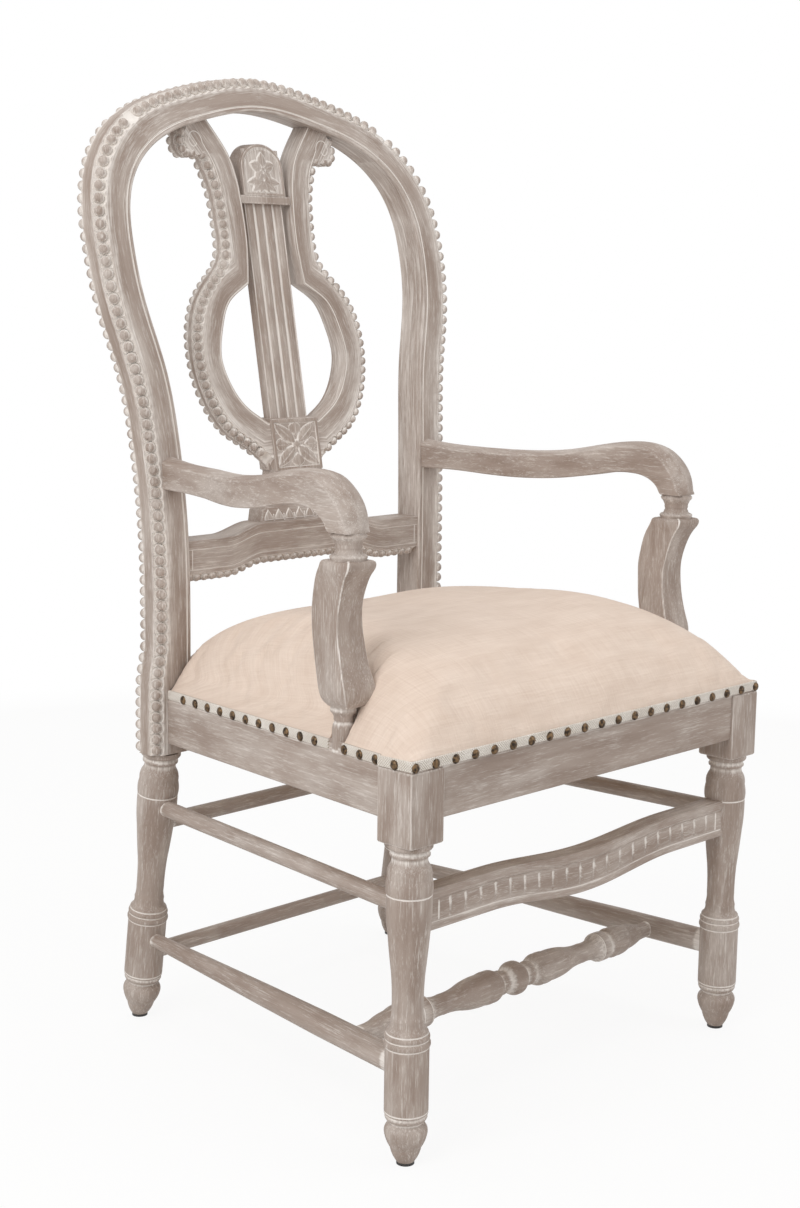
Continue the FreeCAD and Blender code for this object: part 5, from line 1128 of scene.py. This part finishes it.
middle = [
    (20.6, 0.0, 0.12, 0.0), (18.4, 8.0, 0.1, 0.0), (13.4, 14.0, -0.1, 0.9), (12.9, 18.0, -0.1, 0.4),
    (14.4, 23.0, 0.2, 0.1), (14.2, 27.5, -0.1, 0.3), (14.0, 30.0, 0.1, 0.6), (17.6, 36.0, 0.1, 0.0),
    (19.8, 46.0, 0.05, 0.0), (19.0, 60.0, 0.04, 0.0), (14.6, 100.0, -0.03, 0.0), (12.5, 128.0, -0.04, 0.0),
    (13.0, 145.0, -0.1, 0.2), (18.0, 156.5, 0.1, 0.6), (18.5, 160.0, 0.0, 0.2), (18.5, 170.0, 0.1, 0.4),
    (16.9, 174.0, -0.2, 0.8), (18.0, 180.0, 0.1, 0.1), (18.7, 189.0, 0.06, 0.0), (16.0, 213.0, 0.03, 0.0),
    (11.4, 239.0, -0.03, 0.0), (10.0, 258.0, 0.0, 0.2), (9.9, 264.0, 0.0, 1.0), (9.9, 274.0, 0.0, 1.0),
]
halfProfile = incise(profileLine(middle, 2.0), [158.0, 171.5], 0.8, 0.6)
wholeProfile = np.concatenate([(halfProfile * [1, -1, 1])[:0:-1], halfProfile])
wholeProfile = wholeProfile[np.abs(wholeProfile[:, 1]) < bars["reach"]]


def layAcross(p):
    # turns a skin made along z to lie across the chair between the lower side bars
    return np.stack([p[:, 2], p[:, 0] + bars["middle"], p[:, 1] + bars["sideLower"]], -1)


centreBar = moved(lathe(wholeProfile, 36), layAcross)
limedPiece("turned_middle_bar", [centreBar], ["centre_stretcher"])

# front stretcher: a sagging board, gouged between incised lines, with a lip below
apron = {"top": 307.0, "low": 262.0, "sag": 9.0, "lowSag": 13.4, "half": 268.0, "thick": 26.0, "reach": 165.0,
         "flute": 24.5}
apronX = np.linspace(-apron["half"], apron["half"], 440)
bell = np.where(np.abs(apronX) < apron["reach"], np.cos(math.pi * apronX / (2 * apron["reach"])) ** 2, 0)
apronNear = np.stack([apronX, apron["low"] - apron["lowSag"] * bell + 0.2], -1)
apronFar = np.stack([apronX, apron["top"] - apron["sag"] * bell], -1)
apronRows = [(0, 0.0, 1.6, 0.1), (0, 1.2, 0.3, 0.2), (0, 3.2, 0.0, 0.1), (0, 5.6, 0.3, 0.1),
             (0, 7.4, 1.8, 0.3), (0, 8.4, 2.6, 0.8), (0, 9.4, 2.0, 0.3)]
apronRows += [(0, offset, 1.6, 0.0) for offset in (11.0, 13.0, 15.0, 17.5, 20.0, 22.5, 25.0, 27.5, 30.0)]
apronRows += [(1, 11.5, 1.6, 0.1), (1, 10.6, 2.2, 0.5), (1, 9.8, 0.4, 0.2), (1, 6.0, 0.0, 0.0),
              (1, 2.0, 0.4, 0.1), (1, 0.0, 2.4, 0.1), (1, 0.0, apron["thick"] - 1, 0.0),
              (1, 1.0, apron["thick"], 0.0), (0, 1.0, apron["thick"], 0.0),
              (0, 0.0, apron["thick"] - 1, 0.0)]


def apronShape(run, edge, offset, deep, lime, wide):
    # shallow flutes side by side: sunk in their middles, with a pointed limed ridge between two
    field = (edge < 0.5) & (offset > 10) & (deep < 5)
    x = apronX[:, None] + 0 * offset
    local = ((x + 0.5 * apron["flute"]) / apron["flute"]) % 1.0 * 2 - 1
    up = (offset - 10) / np.maximum(wide - 22, 1)
    ridge = np.clip(1 - (1 - np.abs(local)) / (0.10 + 0.12 * up), 0, 1)
    fading = softStep((250 - np.abs(x)) / 8)
    swell = np.sqrt(np.clip(1 - local ** 2, 0, 1)) * np.sin(math.pi * np.clip(up, 0, 1) ** 0.7)
    newDeep = np.where(field, deep + (1.6 - 2.6 * swell + 0.8 * ridge) * fading, deep)
    mark = ridge ** 0.6 * np.clip(up * 1.5, 0.25, 1) * fading
    rim = np.where(np.abs(np.abs(x) - 251) < 1.2, 0.9, 0.0)
    newLime = np.maximum(np.clip(mark, 0, 1) * 0.85 + 0.22 * (1 - swell), rim)
    return offset, newDeep, np.where(field, newLime, lime)


def onApron(x, z, deep):
    return np.stack([x, deep - apron["thick"] / 2, z], -1)


apronBoard = band(apronNear, apronFar, apronRows, onApron, shape=apronShape)
limedPiece("gouged_front_stretcher", [apronBoard], ["front_stretcher"])
print("stretchers made")

# Seat rails with softened edges and a rebate for the tape

rail = {"tall": 56.0, "thick": 25.0, "recess": 3.3, "rearFront": 475.0, "rearThick": 22.0}
railSection = [(0, 0.0, 1.6, 0.1), (0, 1.6, 0.0, 0.1), (0, 20.0, 0.0, 0.0), (0, 42.0, 0.0, 0.0),
               (1, 14.0, 0.0, 0.0), (1, 12.9, 0.5, 0.5), (1, 12.2, 1.7, 0.4), (1, 0.5, 1.7, 0.0),
               (1, 0.0, 2.4, 0.0), (1, 0.0, 22.0, 0.0), (0, 1.0, rail["thick"], 0.0),
               (0, 0.0, rail["thick"] - 1, 0.0)]
runY = np.linspace(chair["blockHalf"] - 1, chair["postFront"] + 1, 40)
sideNear = np.stack([runY, seatPlane(runY) - rail["tall"]], -1)
sideFar = np.stack([runY, seatPlane(runY) + 12.2], -1)
railRight = band(sideNear, sideFar, railSection, lambda y, z, d: np.stack([railFace(y) - d, y, z], -1))
limedPiece("seat_rail_right", [railRight], ["side_rail_right"])
limedPiece("seat_rail_left", [mirrored(railRight)], ["side_rail_left"])
frontX = np.linspace(-261.5, 261.5, 40)
frontNear = np.stack([frontX, np.full_like(frontX, chair["seatTop"] - rail["tall"])], -1)
frontFar = np.stack([frontX, np.full_like(frontX, chair["seatTop"] + 12.2)], -1)
# the front rail stands back behind the blocks, so its rebate is shallower
shallower = rail["recess"] - chair["rebate"] + 0.1
frontSection = [(edge, offset, deep - (shallower if edge and offset < 12.5 else 0), lime)
                for edge, offset, deep, lime in railSection]
frontSection[9] = (1, 0.0, 22.0, 0.0)
railFrontPart = band(frontNear, frontFar, frontSection,
                     lambda x, z, d: np.stack([x, d + rail["recess"] - chair["blockHalf"], z], -1))
limedPiece("seat_rail_front", [railFrontPart], ["front_rail"])
rearX = np.linspace(-203, 203, 30)
rearZ = float(seatPlane(486.0))
rearNear = np.stack([rearX, np.full_like(rearX, rearZ - rail["tall"])], -1)
rearFar = np.stack([rearX, np.full_like(rearX, rearZ + 12.0)], -1)
# the rear rail is thinner
rearSection = [(edge, offset, deep * (0.88 if deep > 20 else 1.0), lime)
               for edge, offset, deep, lime in railSection]
railRearPart = band(rearNear, rearFar, rearSection,
                    lambda x, z, d: np.stack([x, rail["rearFront"] + rail["rearThick"] - d, z], -1))
limedPiece("seat_rail_rear", [railRearPart], ["rear_rail"])
print("rails made")

# Tape and nails round the seat

tape = {"thick": 1.7, "inset": 0.4, "corner": 3.0}
tapeOuter = chair["frontSpread"] + chair["blockHalf"] - chair["rebate"] + tape["thick"]
tapeFrontY = -chair["blockHalf"] + chair["rebate"] - tape["thick"]


def tapeStrip(plan, step=1.5):
    # a thin padded strip stood on edge along a plan line, following the seat's fall
    line = evenly(plan, step)
    side = sideways(line)
    low = seatPlane(line[:, 1]) + tape["inset"]
    tall = chair["tapeTall"] - 2 * tape["inset"]
    rows = [(0.0, 0.15), (0.05, 0.7), (0.18, 0.97), (0.5, 1.0), (0.82, 0.97), (0.95, 0.7), (1.0, 0.15),
            (1.0, -0.3), (0.0, -0.3)]
    grid = []
    for up, out in rows:
        spots = line - side * (tape["thick"] * (1 - out))
        grid.append(np.stack([spots[:, 0], spots[:, 1], low + tall * up], -1))
    grid = np.stack(grid, 1)
    run = runOf(line)
    heights = np.array([row[0] for row in rows]) * tall
    across = run[:, None] + 0 * heights
    board = np.stack([across, heights + 0 * across, 0 * across], -1)
    return tube(grid, board, 0.0)


def clothMap(piece):
    # the cloth's own map in metres, from the straightened coordinates kept with the piece
    mesh = piece.data
    source = np.zeros(len(mesh.vertices) * 3, "f4")
    mesh.attributes["board"].data.foreach_get("vector", source)
    corner = np.zeros(len(mesh.loops), "i4")
    mesh.loops.foreach_get("vertex_index", corner)
    flat = source.reshape(-1, 3)[corner][:, :2]
    layer = mesh.uv_layers.new(name="cloth")
    layer.data.foreach_set("uv", flat.astype("f4").ravel())


turn = np.radians(np.linspace(0, 90, 7))
bend = tape["corner"]
cornerArc = np.stack([tapeOuter - bend + bend * np.cos(-turn), tapeFrontY + bend + bend * np.sin(-turn)], -1)
frontPlan = np.concatenate([[(tapeOuter, chair["blockHalf"])], cornerArc])
frontPlan = np.concatenate([frontPlan, (frontPlan * [-1, 1])[::-1]])
strips = [tapeStrip(frontPlan[::-1])]
for start, end in ((chair["blockHalf"], 94.8), (121.2, chair["postFront"])):
    lineX = railFace(np.array([end, start]), chair["rebate"] - tape["thick"])
    strip = tapeStrip(np.stack([lineX, [end, start]], -1)[::-1])
    strips += [strip, mirrored(strip)]
rearY = rail["rearFront"] + rail["rearThick"] - chair["rebate"] + tape["thick"]
strips.append(tapeStrip(np.array([(-202.0, rearY), (202.0, rearY)])[::-1]))
tapePiece = buildPiece("woven_tape_strip", strips, tapeCloth, "woven_tape", ["seat_trim"])
clothMap(tapePiece)

nail = {"height": 5.6, "corner": 5.6, "frontCount": 21, "pitch": 28.4, "rearCount": 14}
places = []
reachX = chair["frontSpread"] + chair["blockHalf"] - nail["corner"]
for x in np.linspace(-reachX, reachX, nail["frontCount"]):
    places.append(((x, tapeFrontY, seatPlane(0) + nail["height"]), (0, -1, 0)))
sideY = chair["blockHalf"] + 7.6 + nail["pitch"] * np.arange(15)
for y in sideY[(np.abs(sideY - 108) > 18.1) & (sideY < 462.4)]:
    for side in (-1, 1):
        spot = (side * railFace(y, chair["rebate"] - tape["thick"]), y, seatPlane(y) + nail["height"])
        places.append((spot, (side, railTaper, 0)))
for side in (-1, 1):
    places.append(((side * tapeOuter, 0, seatPlane(0) + nail["height"]), (side, 0, 0)))
for x in np.linspace(-191, 191, nail["rearCount"]):
    places.append(((x, rearY, seatPlane(rearY) + nail["height"]), (0, 1, 0)))
dome = lathe(np.array([(5.0, -0.4, 0), (5.5, 0.0, 0), (5.45, 0.5, 0), (4.9, 1.4, 0), (3.8, 2.2, 0),
                       (2.3, 2.75, 0), (0.8, 2.98, 0)], float), 14)
domes = [moved(dome, layAlong(spot, np.add(spot, out))) for spot, out in places]
buildPiece("dome_nails", domes, nailBrass, "aged_brass", ["upholstery_nails"], 60)
print("tape and nails made")

# Seat: a stuffed crown over the boards, slit round the arm supports and cut in at the posts

cushion = {"crown": 103.0, "front": -23.6, "rear": 495.0, "postX": 200.6, "postY": 466.6, "slit": 14.2,
           "footX": 282.3, "footY": 108.0, "lift": 12.5, "blend": 5.0}
gridS = np.sin(np.linspace(-1, 1, 120) * math.pi / 2 * 0.995) / math.sin(math.pi / 2 * 0.995)
gridS = np.sign(gridS) * (1 - (1 - np.abs(gridS)) ** 0.92)
baseY = np.concatenate([
    cushion["front"] + (np.linspace(0, 1, 34) ** 1.7) * (92 - cushion["front"]),
    [93.6, 94.1, 96, 98.5, 102, 105, 108, 111, 114, 117.5, 120, 121.9, 122.4],
    np.linspace(125, 455, 70), [459, 462, 464.5, 466.0, 466.6, 468.5],
    cushion["rear"] - (np.linspace(1, 0, 20) ** 1.7) * (cushion["rear"] - 470)])
y = baseY[:, None]
fullHalf = np.where(y < chair["blockHalf"], chair["frontSpread"] + chair["blockHalf"] - chair["rebate"] - 0.4,
                    railFace(y, chair["rebate"] + 0.4))
fullHalf = np.minimum(fullHalf, railFace(np.maximum(y, chair["blockHalf"]), chair["rebate"]) + 3.2)
cornerCut = 6.0 * np.clip(1 - (y - cushion["front"]) / 6.0, 0, 1) ** 2
halfWide = fullHalf - cornerCut
slitHalf = cushion["footX"] - np.sqrt(np.clip(cushion["slit"] ** 2 - (y - cushion["footY"]) ** 2, 0, None))
besideFoot = np.abs(y - cushion["footY"]) < cushion["slit"] - 0.05
halfWide = np.where(besideFoot, np.minimum(halfWide, slitHalf), halfWide)
halfWide = np.where(y > cushion["postY"], np.minimum(halfWide, cushion["postX"]), halfWide)
s = gridS[None, :]
x = s * halfWide
share = np.abs(x) / fullHalf
middleY = (cushion["front"] + cushion["rear"]) / 2
t = np.abs(y - middleY) / (cushion["rear"] - middleY)
crown = cushion["crown"] * (1 - np.clip(share, 0, 1) ** 10.7) ** 1.6 * np.clip(1 - t ** 2.7, 0, 1) ** 0.51
soft = 1.6 * np.sin(x / 61 + 0.7) * np.sin(y / 53 + 1.9) + 1.1 * np.sin(x / 33 - y / 47)
crown = crown + soft * np.clip(crown / 60, 0, 1)
away = np.hypot(np.abs(x) - cushion["footX"], y - cushion["footY"])
nearSlit = 1 - np.exp(-np.clip(away - cushion["slit"] + 0.5, 0, None) / 3.5)
dent = 44 * nearSlit + 150 * softStep((away - 15) / 62)
besidePost = np.clip(cushion["postX"] + 1.4 - np.abs(x), 0, None)
beforePost = np.hypot(np.clip(cushion["postX"] - np.abs(x), 0, None), cushion["postY"] - y)
postAway = np.where(y > cushion["postY"], besidePost, beforePost)
tuck = 190 * (1 - np.exp(-np.clip(postAway + 0.6, 0, None) / 19.0))
limit = np.minimum(dent, tuck)
crown = -cushion["blend"] * np.log(np.exp(-crown / cushion["blend"]) + np.exp(-limit / cushion["blend"]))
z = seatPlane(y) + cushion["lift"] - 0.6 + np.maximum(crown, 0.0)
rows, columns = x.shape
border, ring, quads = skirted(rows, columns)
top = np.stack([x, y + 0 * x, z], -1).reshape(-1, 3)
under = top[border]
under[:, 2] = seatPlane(under[:, 1]) + cushion["lift"] - 3.5
# the cloth's straightened coordinates: lengths over the crown both ways
stretchX = np.concatenate([[[0]] * rows, np.cumsum(np.hypot(np.diff(x, axis=1), np.diff(z, axis=1)), 1)], 1)
stretchX = stretchX - stretchX[:, columns // 2:columns // 2 + 1]
stepY = np.hypot(np.diff(y + 0 * x, axis=0), np.diff(z, axis=0))
stretchY = np.concatenate([[[0] * columns], np.cumsum(stepY, 0)], 0)
board = np.stack([stretchX, stretchY, 0 * x], -1).reshape(-1, 3)
board = np.concatenate([board, board[border]])
skin = part(np.concatenate([top, under]), quads, [ring[::-1]], board)
seat = buildPiece("stuffed_seat", [skin], linen, "seat_fabric", ["seat_cushion"], 60)
clothMap(seat)


def settleCloth(piece, settings):
    # lets the cover fill out as real cloth under pressure from below, nailed round its border
    mesh = piece.data
    before = np.zeros(len(mesh.vertices) * 3, "f4")
    mesh.vertices.foreach_get("co", before)
    before = before.reshape(-1, 3)
    held = piece.vertex_groups.new(name="nailed")
    heights = before[:, 2] * 1000 - seatPlane(before[:, 1] * 1000 + originBack) - cushion["lift"]
    held.add(np.nonzero(heights < settings["heldBelow"])[0].tolist(), 1.0, "REPLACE")
    work = piece.modifiers.new("settle", "CLOTH")
    work.settings.vertex_group_mass = "nailed"
    work.settings.quality = settings["quality"]
    work.settings.mass = settings["mass"]
    work.settings.tension_stiffness = settings["stiff"]
    work.settings.compression_stiffness = settings["stiff"]
    work.settings.shear_stiffness = settings["stiff"] / 3
    work.settings.bending_stiffness = settings["bending"]
    work.settings.use_pressure = True
    work.settings.uniform_pressure_force = settings["pressure"]
    work.settings.shrink_min = settings["slack"]
    work.settings.effector_weights.gravity = 0.0
    for step in range(1, settings["steps"] + 1):
        bpy.context.scene.frame_set(step)
    done = piece.evaluated_get(bpy.context.evaluated_depsgraph_get()).data
    after = np.zeros(before.size, "f4")
    done.vertices.foreach_get("co", after)
    move = after.reshape(-1, 3) - before
    far = np.linalg.norm(move, axis=1)
    print("cloth moved up to", round(float(far.max()) * 1000, 1), "mm, mean",
          round(float(far.mean()) * 1000, 2))
    piece.modifiers.remove(work)
    piece.vertex_groups.remove(held)
    bpy.context.scene.frame_set(1)
    cap = settings["cap"] / 1000
    move = move * (cap * np.tanh(far / cap) / np.maximum(far, 1e-9))[:, None]
    mesh.vertices.foreach_set("co", (before + np.nan_to_num(move)).ravel())
    finishMesh(mesh, 60)


settle = {"pressure": 3.0, "slack": -0.012, "stiff": 18.0, "bending": 1.2, "steps": 14, "quality": 4,
          "mass": 0.25, "cap": 5.5, "heldBelow": 5.0}
settleCloth(seat, settle)
print("seat made")

# Camera, floor and light

camera = {"lens": 57.81, "turn": -45.296, "dip": 9.668, "roll": 0.808, "spot": (-1707.8, -1387.2, 957.3)}
turn, dip, roll = (math.radians(camera[key]) for key in ("turn", "dip", "roll"))
forward = Vector((-math.sin(turn) * math.cos(dip), math.cos(turn) * math.cos(dip), -math.sin(dip)))
rightward = Vector((math.cos(turn), math.sin(turn), 0))
upward = rightward.cross(forward)
rolledRight = rightward * math.cos(roll) + upward * math.sin(roll)
rolledUp = upward * math.cos(roll) - rightward * math.sin(roll)
lens = bpy.data.cameras.new("chair_view")
lens.sensor_fit = "VERTICAL"
lens.sensor_height = 36.0
lens.lens = camera["lens"]
lens.clip_end = 100.0
eye = bpy.data.objects.new("chair_view", lens)
spot = camera["spot"]
toSpot = Matrix.Translation((spot[0] / 1000, (spot[1] - originBack) / 1000, spot[2] / 1000))
eye.matrix_world = toSpot @ Matrix((rolledRight, rolledUp, -forward)).transposed().to_4x4()
bpy.context.scene.collection.objects.link(eye)
bpy.context.scene.camera = eye

studio = {"ambient": 0.64, "key": 46.0, "fill": 17.0, "top": 16.0, "floorWhite": 0.9}


def seenRays(tree):
    # 1 for what the camera sees directly, in a mirror or through glass
    path = addNode(tree, "ShaderNodeLightPath").outputs
    seen = maths(tree, "MAXIMUM", path["Is Camera Ray"], path["Is Glossy Ray"])
    return maths(tree, "MAXIMUM", seen, path["Is Transmission Ray"])


world = bpy.data.worlds.new("studio")
bpy.context.scene.world = world
world.use_nodes = True
tree = world.node_tree
tree.nodes.clear()
light = addNode(tree, "ShaderNodeBackground", {},
                {"Color": (1, 0.99, 0.975, 1), "Strength": studio["ambient"]})
white = addNode(tree, "ShaderNodeBackground", {}, {"Color": (1, 1, 1, 1), "Strength": 1.0})
blend = addNode(tree, "ShaderNodeMixShader", {},
                {0: seenRays(tree), 1: light.outputs[0], 2: white.outputs[0]})
addNode(tree, "ShaderNodeOutputWorld", {}, {"Surface": blend.outputs[0]})

floorMesh = bpy.data.meshes.new("floor")
floorMesh.from_pydata([(-8, -8, 0), (8, -8, 0), (8, 8, 0), (-8, 8, 0)], [], [(0, 1, 2, 3)])
floor = bpy.data.objects.new("floor", floorMesh)
bpy.context.scene.collection.objects.link(floor)
paleFloor = bpy.data.materials.new("pale_floor")
paleFloor.use_nodes = True
tree = paleFloor.node_tree
tree.nodes.clear()
spotNode = addNode(tree, "ShaderNodeTexCoord").outputs["Object"]
far = addNode(tree, "ShaderNodeVectorMath", {"operation": "LENGTH"}, {0: spotNode}).outputs["Value"]
fade = maths(tree, "MAXIMUM", between(tree, far, 0.8, 2.2), studio["floorWhite"])
share = maths(tree, "MULTIPLY", fade, seenRays(tree))
matt = addNode(tree, "ShaderNodeBsdfDiffuse", {}, {"Color": (0.86, 0.85, 0.84, 1)})
glow = addNode(tree, "ShaderNodeEmission", {}, {"Color": (1, 1, 1, 1), "Strength": 1.0})
blend = addNode(tree, "ShaderNodeMixShader", {}, {0: share, 1: matt.outputs[0], 2: glow.outputs[0]})
addNode(tree, "ShaderNodeOutputMaterial", {}, {"Surface": blend.outputs[0]})
floorMesh.materials.append(paleFloor)


def softLamp(name, spot, aim, size, power):
    # a square soft box that looks at a point
    data = bpy.data.lights.new(name, "AREA")
    data.shape = "SQUARE"
    data.size = size
    data.energy = power
    lamp = bpy.data.objects.new(name, data)
    lamp.location = spot
    lamp.rotation_euler = (Vector(aim) - Vector(spot)).to_track_quat("-Z", "Y").to_euler()
    bpy.context.scene.collection.objects.link(lamp)


softLamp("key_box", (-2.7, -0.6, 2.3), (0, 0, 0.55), 1.8, studio["key"])
softLamp("fill_box", (1.6, -2.6, 1.8), (0, 0, 0.5), 2.0, studio["fill"])
softLamp("top_box", (0.2, 0.3, 3.1), (0, 0, 0.4), 2.2, studio["top"])
bpy.context.scene.view_settings.view_transform = "Standard"
print("studio made")
